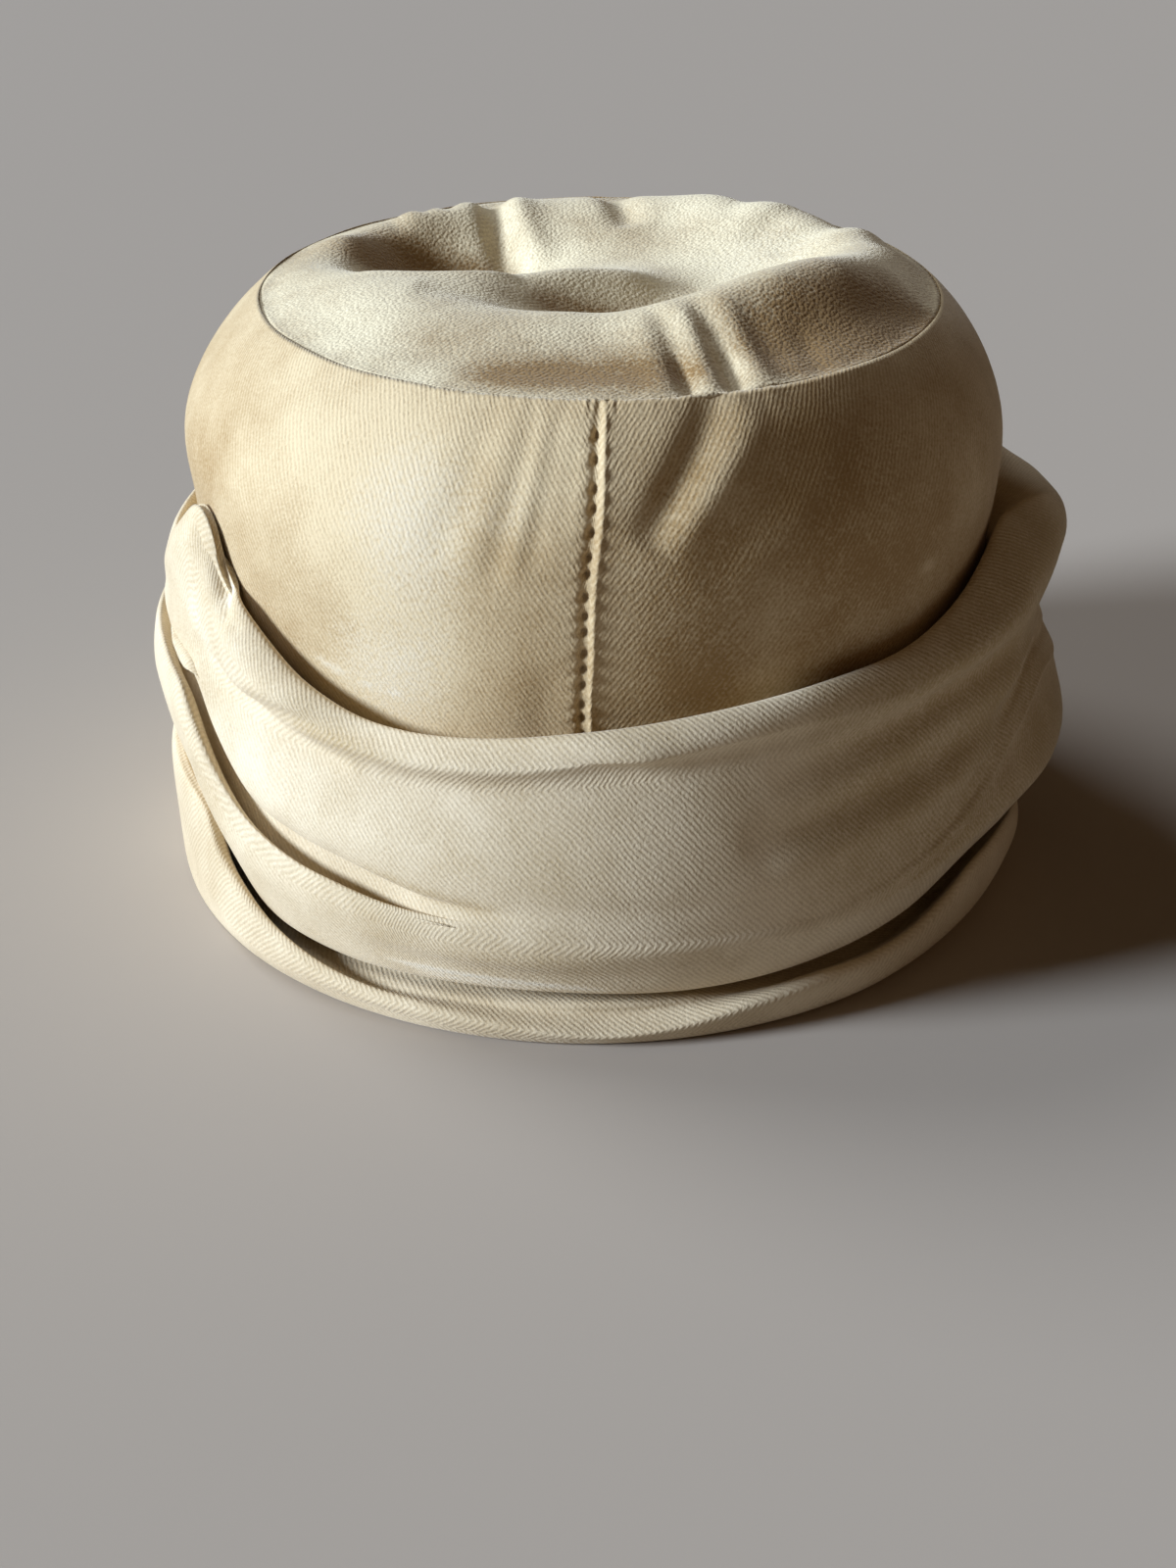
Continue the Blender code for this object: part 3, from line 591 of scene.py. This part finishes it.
BODY = (
    (-180, 74, 120.5, 0, 56, 120.5, 47, 121, 37, 121.0, 16, 110.5),
    (-160, 74, 119.5, 0.5, 60, 117.5, 54, 120.2, 41, 120.8, 20, 110.5),
    (-135, 76, 118, 1, 69, 114, 64, 119, 48, 120.8, 27, 111.2),
    (-110, 78, 116, 1, 74, 112.6, 69, 117.8, 53, 119.6, 29, 110.5),
    (-90, 77.5, 115.6, 1, 74.5, 112.4, 70.5, 117.3, 56, 119.4, 30, 110.3),
    (-75, 78.5, 115.6, 1, 75, 112.4, 71.5, 117.2, 57, 119.3, 30, 110.3),
    (-67, 77, 115.9, 1, 74, 112.8, 70, 117.5, 55, 119.4, 30, 110.3),
    (-62, 75.5, 116.2, 1, 74, 113.2, 68.5, 118, 52, 119.8, 30, 110.7),
    (-58, 74, 117.0, 1, 71, 113.8, 62, 118.4, 47, 120.2, 26, 110.4),
    (-53, 66, 118, 1, 60, 114.3, 53, 118.6, 40, 120.2, 20, 111.4),
    (-47, 58, 118.5, 1, 49, 114.5, 45.2, 118.7, 34, 120.3, 15.2, 112.4),
    (-38, 54, 118.8, 1, 44.2, 114.6, 39.9, 119.0, 30, 120.3, 13, 112.8),
    (-31, 52.5, 119, 1, 42.4, 114.8, 38.0, 119.2, 28, 120, 12.8, 113.2),
    (-25, 52, 119.1, 0.88, 40.8, 116.0, 36.3, 119.3, 27, 119.9, 13.2, 113.5),
    (-19, 51, 119.2, 0.45, 39.2, 117.6, 35.0, 119.4, 26, 119.8, 13.6, 113.6),
    (-13, 50.5, 119.4, 0.15, 39.2, 118.6, 33.8, 119.7, 25.5, 119.7, 13.7, 113.5),
    (-6, 49.5, 119.5, 0, 38.8, 119.2, 32.8, 119.8, 25, 119.4, 13.6, 113.2),
    (14, 48, 120, 0, 38, 120, 31.5, 119.8, 25, 118.8, 12.3, 112.8),
    (30, 49, 120.6, 0, 39, 120.8, 32, 120.8, 26, 120.2, 13.6, 113.4),
    (44, 55, 121.4, 0, 46, 121.6, 38, 122.2, 32, 122.6, 17.4, 115.2),
    (56, 65, 122.4, 0, 56, 122, 49, 123.4, 38, 125.8, 25, 118.2),
    (66, 71, 122.8, 0, 63, 121, 56, 124.4, 41, 129.4, 26.5, 121),
    (76, 72, 122.5, 0, 66.5, 121.6, 60, 126, 41, 131.7, 24, 123.4),
    (90, 67.5, 125.5, 0, 62.5, 126.6, 55.5, 130.3, 38, 133.6, 22, 125),
    (104, 70, 126.8, 0, 64, 126.8, 55, 129.6, 38, 132.8, 21, 124.5),
    (122, 74, 125, 0, 62, 125.2, 52, 127.2, 38, 129.4, 16, 115),
    (150, 75, 122.2, 0, 58, 122.2, 48, 123.2, 37, 124.2, 14, 111.5),
)
CLEAR_OF_CROWN = 0.7
BAND_COLUMNS = 460
BAND_SPANS = (4, 6, 9, 10, 10, 8, 5, 5, 5, 4, 6, 8, 10, 6, 5)
TURN_LENGTH = 2.07  # millimetres of band in a degree
UPPER_ROWS = (2.2, 7.2)  # the rolled edge, the crease and the belly
LOWER_ROWS = (9.8, 14.2)  # the second fold down to the turn
# rows of the band that take its wear and its painted shade
WEAR_AND_SHADING_ROWS = (2.0, 14.5)
ROW_BLEND = 0.25
TUCK_BELOW_RIDGE, UNDER_RIDGE = 15, 5
MOUTH_OUT, MOUTH_RISE = 2.4, 2.0  # the pleat's mouth, from the line where the cloth turns in
THROAT_IN, THROAT_DROP = 1.6, 0.8
PLEAT_FLOOR_OUT, PLEAT_FLOOR_DROP, PLEAT_DEPTH = 0.7, 2.0, 7.5
PLY_IN, PLY_DROP, PLAIN_RISE = 2.5, 3.6, 1.5
TOWARDS_FLOOR, TOWARDS_PLY = 0.4, 0.75  # where there is no pleat, shares of the way to the fold
FOLD_OUT, FOLD_LEAST_OUT, FOLD_DROP = 1.5, 0.3, 3.0
BEND_OUT, BEND_RISE = 2.8, 4.4  # the bend over the foot
EDGE_IN, EDGE_RISE = 5.0, 1.2
UPPER_FOLDS = (
    # azimuth in millimetres round the band, height
    (-126, 84, -60, 69.5, -0.08, 2.6, 2.2),
    (-104, 74, 20, 75, 0.10, 2.8, 1.8),
    (-104, 80, 20, 81, 0.10, 3.2, -0.9),
    (-116, 106, -109, 98.5, 0.0, 1.8, 2.4),
    (-112, 101, -104, 93, 0.10, 1.2, 1.4),
    (-109, 99, -98, 95, -0.10, 1.4, 1.2),
    (14, 77, 112, 86, 0.05, 4.0, 1.5),
    (50, 76, 146, 88, 0.05, 5.0, -1.3),
    (44, 69, 140, 80, 0.05, 4.5, 1.8),
    (44, 62, 140, 73, 0.05, 5.0, -1.3),
    (36, 54, 136, 64, 0.05, 5.0, 1.9),
    (44, 47, 132, 57, 0.04, 5.0, -1.0),
    (60, 104, 140, 112, -0.04, 5.0, 0.8),
)
LOWER_FOLDS = (
    (-60, 22, 20, 18, 0.03, 2.5, 0.5),
    (60, 36, 130, 46, 0.03, 6.0, -1.4),
    (-160, 60, -70, 32, 0.05, 5.0, 0.7),
)
BAND_WEAR_AND_PAINTED_SHADING = (
    # the positive rows are a crushed line along the turn, real crushed pile with a painted highlight on it,
    # and two lighter marks by the tack; the negative rows are painted shade in the crease under the roll,
    # in the pleat, low at the back where the band turns under, and over the band's shaded right side
    (-54, 18.5, 8, 14.6, 0.04, 0.9, 1.3),
    (-46, 16.5, -10, 14.6, 0.02, 0.8, 0.8),
    (-128, 92, -108, 76, 0.1, 5.0, 0.35),
    (-100, 80, -10, 70, 0.0, 3.0, -0.3),
    (-60, 44, -20, 38, 0.0, 2.0, -0.5),
    (-112, 104, -108, 96, 0.0, 1.6, 0.9),
    (-60, 26, 60, 24, 0.0, 6.0, -0.35),
    (50, 84, 200, 98, 0.0, 15.0, -0.6),
    (44, 62, 200, 72, 0.0, 16.0, -0.6),
    (60, 36, 200, 46, 0.0, 14.0, -0.5),
)
BAND_WEAVE_TURNS = (2.9, 4.0, 10.3, 11.3)  # where the twill meets itself, at the roll and the second fold

band_azimuth = np.linspace(-180, 180, BAND_COLUMNS, endpoint=False)


def clear_of_wall(reach, height):
    """The reach, or where that would be inside the crown's side, just outside it."""
    return np.maximum(reach, wall_reach(height) + CLEAR_OF_CROWN)


def mix(start, end, share):
    """The point at a share of the way from start to end."""
    return tuple(s + (e - s) * share for s, e in zip(start, end))


def band_lines(azimuth):
    """The band's lines from its tucked edge to its foot, as (lines, azimuths, 2) of reach and height."""
    r = {n: round_the_hat(ROLL, ROLL_COLUMNS, n, azimuth) for n in ROLL_COLUMNS[1:]}
    b = {n: round_the_hat(BODY, BODY_COLUMNS, n, azimuth) for n in BODY_COLUMNS[1:]}
    tuck_height = r["ridge_height"] - TUCK_BELOW_RIDGE
    tuck_reach = clear_of_wall(0, tuck_height)
    pleat = b["pleat"]
    turn_in = (b["turn_in_reach"], b["turn_in_height"])
    fold = (b["fold_reach"], b["fold_height"])
    floor_height = np.minimum(turn_in[1], fold[1]) - PLEAT_FLOOR_DROP - PLEAT_DEPTH * pleat
    pleat_floor = (turn_in[0] + PLEAT_FLOOR_OUT, floor_height)
    inner_ply = (fold[0] - PLY_IN * pleat, fold[1] - PLY_DROP * pleat + PLAIN_RISE * (1 - pleat))
    under_ridge = r["ridge_height"] - UNDER_RIDGE
    lines = [
        (tuck_reach, tuck_height),
        (clear_of_wall((tuck_reach + r["ridge_reach"]) / 2, under_ridge), under_ridge),
        (r["ridge_reach"], r["ridge_height"]),
        (r["brow_reach"], r["brow_height"]),
        (r["crease_reach"], r["crease_height"]),
        (b["belly_reach"], b["belly_height"]),
        (turn_in[0] + MOUTH_OUT * pleat, turn_in[1] + MOUTH_RISE),
        (turn_in[0] - THROAT_IN * pleat, turn_in[1] - THROAT_DROP),
        mix(mix(turn_in, fold, TOWARDS_FLOOR), pleat_floor, pleat),
        mix(mix(turn_in, fold, TOWARDS_PLY), inner_ply, pleat),
        fold,
        (fold[0] + FOLD_OUT * pleat + FOLD_LEAST_OUT, fold[1] - FOLD_DROP),
        (b["lower_reach"], b["lower_height"]),
        (b["turn_reach"] + BEND_OUT, b["turn_height"] + BEND_RISE),
        (b["turn_reach"], b["turn_height"]),
        (b["turn_reach"] - EDGE_IN, b["turn_height"] + EDGE_RISE),
    ]
    return np.array(lines).transpose(0, 2, 1)


band_section, band_rows = curves_through(band_lines(band_azimuth), BAND_SPANS)
band_points = place(band_azimuth[:, None], band_section[..., 0], band_section[..., 1])
round_band = band_azimuth[:, None] * TURN_LENGTH


def between_rows(rows, first, last):
    """1 between two rows of the section and 0 outside, with a smooth step about a row wide."""
    rise = 1 / (1 + np.exp(-(rows - first) / ROW_BLEND))
    return rise / (1 + np.exp((rows - last) / ROW_BLEND))


def press_band(points):
    """Presses the upper and the lower folds along the cloth's normals."""
    upper = pressed(round_band, points[..., 2], UPPER_FOLDS)
    lower = pressed(round_band, points[..., 2], LOWER_FOLDS)
    depth = upper * between_rows(band_rows, *UPPER_ROWS) + lower * between_rows(band_rows, *LOWER_ROWS)
    return points - outward(points) * depth[..., None]


band_points = press_band(band_points)
# wear, the crushed line and painted shade on the band
band_wear_and_painted_shading = pressed(round_band, band_points[..., 2], BAND_WEAR_AND_PAINTED_SHADING)
band_wear_and_painted_shading = band_wear_and_painted_shading * between_rows(band_rows, *WEAR_AND_SHADING_ROWS)
swathed_band = cloth_piece(
    "swathed_band_velvet", band_points, rows=band_rows, weave_turns=BAND_WEAVE_TURNS, wear_and_painted_shading=band_wear_and_painted_shading
)

# %% [markdown]
# ## The rim cuff
#
# The cuff is the strip's turned-up lower edge. At the left it stands up as a lip with the band tucked
# behind it. At the back it lies flat, so that its inner ply shows as a pale crescent. Its underside
# turns in flat to the head opening, and the hat stands on it.

# %% Rim cuff
CUFF_COLUMNS = ("azimuth", "lip_height", "lip_reach", "belly_height", "belly_reach", "fall")
CUFF = (
    (-180, 22, 120.0, 8, 120.5, 0.9),
    (-135, 30, 118.5, 12, 119.5, 1.0),
    (-100, 34, 118.0, 15, 118.8, 1.0),
    (-85, 34.5, 117.4, 16, 117.2, 1.0),
    (-67, 35.5, 117.2, 13, 117.0, 1.0),
    (-60, 34, 117.2, 10, 117.8, 1.0),
    (-55, 26, 118.4, 8, 118.5, 1.0),
    (-50, 21, 119.0, 6.5, 119.2, 1.0),
    (-44, 15.6, 119.2, 5, 118.8, 1.0),
    (-37, 11.4, 119.0, 4.4, 118.2, 0.9),
    (-29, 8.9, 118.6, 3.8, 117.6, 0.7),
    (-21, 8.2, 118.4, 3, 117.4, 0.5),
    (-13, 7.2, 118.3, 2.4, 117.4, 0.3),
    (-6, 6.0, 118.4, 2.2, 117.4, 0.12),
    (2, 4.8, 118.5, 2.2, 117.4, 0.0),
    (10, 6, 118.5, 2.4, 117.5, 0.1),
    (20, 9.4, 118.8, 2.8, 117.8, 0.4),
    (30, 11.8, 119.5, 3.2, 118.5, 0.6),
    (38, 12.3, 120.0, 4, 119.3, 0.7),
    (45, 14, 120.3, 5.5, 119.8, 0.8),
    (52, 17.8, 120.8, 7, 120.3, 0.9),
    (59, 21, 121.2, 8, 120.8, 1.0),
    (69, 20, 121.8, 9, 121.5, 1.0),
    (78, 16, 122.6, 8, 122.2, 0.9),
    (92, 13, 122.8, 6, 122.4, 0.7),
    (122, 19, 123.5, 7, 122.6, 0.8),
    (150, 20.5, 121.4, 7.5, 121.4, 0.9),
)
FOOT_OUTER = 113.0
FOOT_INNER = 100.0
OPENING_REACH = 89.0
CUFF_SPANS = (6, 8, 9, 8, 8, 8, 6, 3, 3, 4, 4)
CUFF_STEPS_ROUND = 460
CUFF_WEAVE_TURNS = (4.6, 5.8)
PLY_TOP_REACH, PLY_TOP_HEIGHT = 98.5, 23  # the inner ply's edge, hidden behind the band
PLY_FOOT_REACH, PLY_FOOT_RISE = 105, 1.5
PLY_OUT_REACH = 112
PLY_LAID, PLY_STANDING = 9.5, 8  # the inner ply's height where the lip lies flat, and where it stands
BELLY_FOOT_OUT, BELLY_FOOT_RISE = 3, 0.5
OPENING_ROLL = ((4.5, 1.4), (0.7, 3.2))  # out from the head opening, and up

cuff_azimuth = np.linspace(-180, 180, CUFF_STEPS_ROUND, endpoint=False)


def cuff_lines(azimuth):
    """The cuff's lines: inner ply, lip, belly, the flat foot and the head opening's edge.

    The lip's own offsets pass from the laid form, where fall is 0, to the standing one, where it is 1."""
    v = {n: round_the_hat(CUFF, CUFF_COLUMNS, n, azimuth) for n in CUFF_COLUMNS[1:]}
    fall, whole = v["fall"], np.ones(len(azimuth))
    inner_height = PLY_LAID * (1 - fall) + PLY_STANDING * fall
    lines = [
        (PLY_TOP_REACH * whole, PLY_TOP_HEIGHT * whole),
        (PLY_FOOT_REACH * whole, inner_height + PLY_FOOT_RISE),
        (PLY_OUT_REACH - 1.5 * fall, inner_height - 0.6 * fall),
        (v["lip_reach"] - 4.5 - 0.8 * (1 - fall), v["lip_height"] - 3.6 * fall + 2.2 * (1 - fall)),
        (v["lip_reach"] - 2.0 + 1.2 * (1 - fall), v["lip_height"]),
        (v["lip_reach"] + 0.2, v["lip_height"] - 3.0 * fall - 1.0 * (1 - fall)),
        (v["belly_reach"], v["belly_height"]),
        ((FOOT_OUTER + BELLY_FOOT_OUT) * whole, BELLY_FOOT_RISE * whole),
        (FOOT_OUTER * whole, 0 * whole),
        (FOOT_INNER * whole, 0 * whole),
    ]
    lines += [((OPENING_REACH + out) * whole, rise * whole) for out, rise in OPENING_ROLL]
    return np.array(lines).transpose(0, 2, 1)


cuff_section, cuff_rows = curves_through(cuff_lines(cuff_azimuth), CUFF_SPANS)
cuff_points = place(cuff_azimuth[:, None], cuff_section[..., 0], np.maximum(cuff_section[..., 1], 0))
rim_cuff = cloth_piece("rim_cuff_velvet", cuff_points, rows=cuff_rows, weave_turns=CUFF_WEAVE_TURNS)

# %% [markdown]
# ## Materials
#
# Velvet has a short pile that stands on a fine twill. The pile glows where it is seen edge on, which
# Principled's sheen does, and it lies this way and that in soft patches, which noise does. The twill
# is a bump that follows the cloth's own flat map, so that it runs on the bias at its true pitch. A value
# at each point of the mesh adds scuffs and crushed pile, and painted shade and painted light, to the
# colour.

# %% A small language for shader maths
class Value:
    """A socket that answers to +, - and *, each adding a Math node."""

    def __init__(self, build, socket):
        self.build = build
        self.socket = socket

    def _math(self, operation, first, second=None):
        values = {0: first} if second is None else {0: first, 1: second}
        return self.build.node("ShaderNodeMath", {"operation": operation}, values)

    def __add__(self, other):
        return self._math("ADD", self, other)

    def __radd__(self, other):
        return self._math("ADD", other, self)

    def __sub__(self, other):
        return self._math("SUBTRACT", self, other)

    def __rsub__(self, other):
        return self._math("SUBTRACT", other, self)

    def __mul__(self, other):
        return self._math("MULTIPLY", self, other)

    def sine(self):
        return self._math("SINE", self)

    def clamped(self):
        return self.build.node("ShaderNodeClamp", {}, {"Value": self})


class Finish:
    """One material. node() adds any node: its settings come first, then its sockets' values or links."""

    def __init__(self, name):
        self.material = bpy.data.materials.new(name)
        self.material.use_nodes = True
        self.tree = self.material.node_tree
        self.shader = self.tree.nodes["Principled BSDF"]

    def node(self, kind, settings, values, output=0):
        made = self.tree.nodes.new(kind)
        for name, value in settings.items():
            setattr(made, name, value)
        self.plug(made, values)
        return Value(self, made.outputs[output])

    def plug(self, made, values):
        for name, value in values.items():
            socket = made.inputs[name]
            if isinstance(value, Value):
                self.tree.links.new(value.socket, socket)
            else:
                socket.default_value = value

    def mixed(self, share, first, second):
        """A colour between first and second, through a Mix node."""
        made = self.tree.nodes.new("ShaderNodeMix")
        made.data_type = "RGBA"
        self.plug(made, {0: share, 6: first, 7: second})
        return Value(self, made.outputs[2])


# %% Velvet
TWILL_PITCH = 1.2  # millimetres from rib to rib
WANDER_SCALE, WANDER = 90.0, 9.0  # slow waves that keep the ribs from looking ruled
GRAIN_SCALE, GRAIN_DEPTH = 1500.0, 0.14
PEBBLE_SCALE = 1000.0
NAP_SCALE, NAP_MIDDLE, NAP_CONTRAST = 24.0, 0.66, 1.8  # the patches where the pile lies this way or that
WORN_AND_PAINTED_LIGHT = (0.80, 0.74, 0.62)  # the pale of crushed, worn pile, also painted light on lit slopes and a painted highlight on the crushed line


def velvet(name, pale, deep, rib_angle, twill_depth, pebble_depth):
    """Napped velvet: twill and pebble bumps; patches of nap, scuffs, crushed pile, painted shade and
    painted light in the colour; and a sheen.

    The ribs' height is (sin(2 pi d / pitch) + 1) / 2, with d the distance across them on the weave map."""
    finish = Finish(name)
    weave_map = finish.node("ShaderNodeUVMap", {"uv_map": "weave"}, {})
    parts = finish.tree.nodes.new("ShaderNodeSeparateXYZ")
    finish.tree.links.new(weave_map.socket, parts.inputs[0])
    u, v = Value(finish, parts.outputs[0]), Value(finish, parts.outputs[1])
    place_in = finish.node("ShaderNodeTexCoord", {}, {}, output=3)
    wander = finish.node("ShaderNodeTexNoise", {}, {
        "Vector": place_in, "Scale": WANDER_SCALE, "Detail": 2.0,
    })
    turn = math.radians(rib_angle)
    across = u * math.sin(turn) - v * math.cos(turn)
    ribs = ((across * (2 * math.pi / TWILL_PITCH)) + wander * WANDER).sine() * 0.5 + 0.5
    grain = finish.node("ShaderNodeTexNoise", {}, {"Vector": place_in, "Scale": GRAIN_SCALE, "Detail": 3.0})
    pebble = 1 - finish.node("ShaderNodeTexVoronoi", {}, {"Vector": place_in, "Scale": PEBBLE_SCALE})
    nap = finish.node("ShaderNodeTexNoise", {}, {
        "Vector": place_in, "Scale": NAP_SCALE, "Detail": 4.0, "Roughness": 0.6,
    })
    # scuffs and crushed pile, with painted shade where the value is negative and painted light where
    # positive
    wear_and_painted_shading = finish.node("ShaderNodeAttribute", {"attribute_name": "wear_and_painted_shading"}, {}, output=2)
    wear_and_shading = wear_and_painted_shading * (0.5 + pebble)
    fine = (grain - 0.5) * 0.9 + (ribs - 0.5) * (twill_depth * 4)
    # negative values pull the colour to the deep laid pile: painted shade
    nap_wear_and_shading = (NAP_MIDDLE + (nap - 0.5) * NAP_CONTRAST + fine + wear_and_shading * 0.8).clamped()
    colour = finish.mixed(nap_wear_and_shading, (*deep, 1), (*pale, 1))
    # positive values turn pale: worn pile, painted light and a painted highlight
    colour = finish.mixed((wear_and_shading * 0.75 - 0.2).clamped(), colour, (*WORN_AND_PAINTED_LIGHT, 1))
    height = ribs * (twill_depth * MM) + (grain - 0.5) * (GRAIN_DEPTH * MM)
    height = height + (pebble - 0.5) * (pebble_depth * MM)
    bump = finish.node("ShaderNodeBump", {}, {"Strength": 1.0, "Distance": 1.0, "Height": height})
    finish.plug(finish.shader, {
        "Base Color": colour, "Roughness": 0.85, "Specular IOR Level": 0.25, "Normal": bump,
        "Sheen Weight": 0.3, "Sheen Roughness": 0.4, "Sheen Tint": (1.0, 0.93, 0.8, 1.0),
    })
    return finish.material


PIECES = (
    # piece, node, slot, raised and laid pile, rib angle, twill depth, pebble depth
    # the top's raised pile is paler than the other pieces', as painted light on its flats; its laid pile is
    # a deep brown that the painted shade on the top darkens towards
    (crown_tip, "crown_tip", "tip_velvet", (0.90, 0.79, 0.55), (0.28, 0.165, 0.06), 50, 0.03, 0.2),
    (crown_side, "crown_side", "side_velvet", (0.70, 0.56, 0.35), (0.35, 0.22, 0.09), 122, 0.06, 0.07),
    (swathed_band, "swathed_band", "band_velvet", (0.81, 0.69, 0.50), (0.47, 0.35, 0.19), 50, 0.065, 0.05),
    (rim_cuff, "rim_cuff", "cuff_velvet", (0.77, 0.65, 0.46), (0.46, 0.34, 0.19), 45, 0.07, 0.05),
)
for piece, node, slot, pale, deep, rib_angle, twill_depth, pebble_depth in PIECES:
    piece.data.materials.append(velvet(slot, pale, deep, rib_angle, twill_depth, pebble_depth))
    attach(piece, "root")
    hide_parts(node)
    print(piece.name, "dressed as", slot)

# %% [markdown]
# ## Cloth facts
#
# Each piece was cut flat before it was sewn, gathered and draped. The sizes come from the lengths
# round the hat and down the sections.

def cut_size(points):
    """The longest ring and the mean section of a grid, in metres."""
    ring = np.linalg.norm(np.roll(points, -1, 0) - points, axis=-1).sum(0).max()
    down = np.linalg.norm(np.diff(points, axis=1), axis=-1).sum(1).mean()
    return round(float(ring) * MM, 3), round(float(down) * MM, 3)


side_length, side_width = cut_size(side_points)
band_length, band_width = cut_size(band_points)
cuff_length, cuff_width = cut_size(cuff_points)
print("cuts", side_width, side_length, band_width, band_length, cuff_width, cuff_length)

# %% [markdown]
# ## Floor and light
#
# The floor is plain and pale. A window's light comes low from the left, a weaker and softer one from
# high on the far left, and a little warm light bounces back from the right. All three are far away,
# so they fall alike on every part of the hat, and the folds read by their shade.

# %% Floor and lights
floor_mesh = bpy.data.meshes.new("floor")
FLOOR_HALF = 4.0
floor_mesh.from_pydata(
    [(-FLOOR_HALF, -FLOOR_HALF, 0), (FLOOR_HALF, -FLOOR_HALF, 0),
     (FLOOR_HALF, FLOOR_HALF, 0), (-FLOOR_HALF, FLOOR_HALF, 0)],
    [], [(0, 1, 2, 3)],
)
floor = bpy.data.objects.new("floor", floor_mesh)
floor_finish = Finish("floor")
floor_finish.plug(floor_finish.shader, {"Base Color": (0.46, 0.40, 0.34, 1), "Roughness": 0.9})
floor.data.materials.append(floor_finish.material)
bpy.context.collection.objects.link(floor)


def window_light(name, azimuth, elevation, width, strength, colour):
    """A far soft light at an azimuth (0 is the hat's back) and elevation; width is its angle across."""
    data = bpy.data.lights.new(name, "SUN")
    data.angle = math.radians(width)
    data.energy = strength
    data.color = colour
    light = bpy.data.objects.new(name, data)
    light.rotation_euler = (math.pi / 2 - math.radians(elevation), 0, math.radians(azimuth))
    bpy.context.collection.objects.link(light)


window_light("key", -75, 18, 16, 5.0, (0.87, 1.0, 1.17))
window_light("high", -125, 46, 30, 1.25, (0.92, 1.0, 1.10))
window_light("bounce", 60, 25, 60, 0.10, (1.0, 0.6, 0.3))
ROOM_COLOUR, ROOM_STRENGTH = (1.0, 0.70, 0.44, 1), 0.04
world = bpy.data.worlds.new("world")
world.use_nodes = True
world.node_tree.nodes["Background"].inputs["Color"].default_value = ROOM_COLOUR
world.node_tree.nodes["Background"].inputs["Strength"].default_value = ROOM_STRENGTH
bpy.context.scene.world = world
bpy.context.scene.view_settings.view_transform = "Standard"
print("lights placed")

# %% [markdown]
# ## Backdrop
#
# A plain pale cylinder stands round the floor, so that every view has an even background. It glows by
# itself. It throws no light and no shadow on the hat.

# %% Backdrop
BACKDROP_REACH, BACKDROP_HEIGHT, BACKDROP_SIDES = 3.9, 6.0, 96
BACKDROP_TONE = (0.36, 0.345, 0.33, 1)
ring = np.linspace(0, 2 * math.pi, BACKDROP_SIDES, endpoint=False)
wall = np.stack([BACKDROP_REACH * np.cos(ring), BACKDROP_REACH * np.sin(ring), np.zeros(len(ring))], -1)
backdrop_mesh = bpy.data.meshes.new("backdrop")
backdrop_mesh.from_pydata(
    np.concatenate([wall, wall + (0, 0, BACKDROP_HEIGHT)]).tolist(), [],
    [(i, i + BACKDROP_SIDES, (i + 1) % BACKDROP_SIDES + BACKDROP_SIDES, (i + 1) % BACKDROP_SIDES)
     for i in range(BACKDROP_SIDES)],
)
backdrop = bpy.data.objects.new("backdrop", backdrop_mesh)
backdrop_finish = Finish("backdrop")
backdrop_finish.plug(backdrop_finish.shader, {
    "Base Color": (0, 0, 0, 1), "Specular IOR Level": 0.0,
    "Emission Color": BACKDROP_TONE, "Emission Strength": 1.0,
})
backdrop.data.materials.append(backdrop_finish.material)
backdrop.visible_diffuse = False
backdrop.visible_glossy = False
backdrop.visible_shadow = False
bpy.context.collection.objects.link(backdrop)
print("backdrop of", BACKDROP_SIDES, "sides")
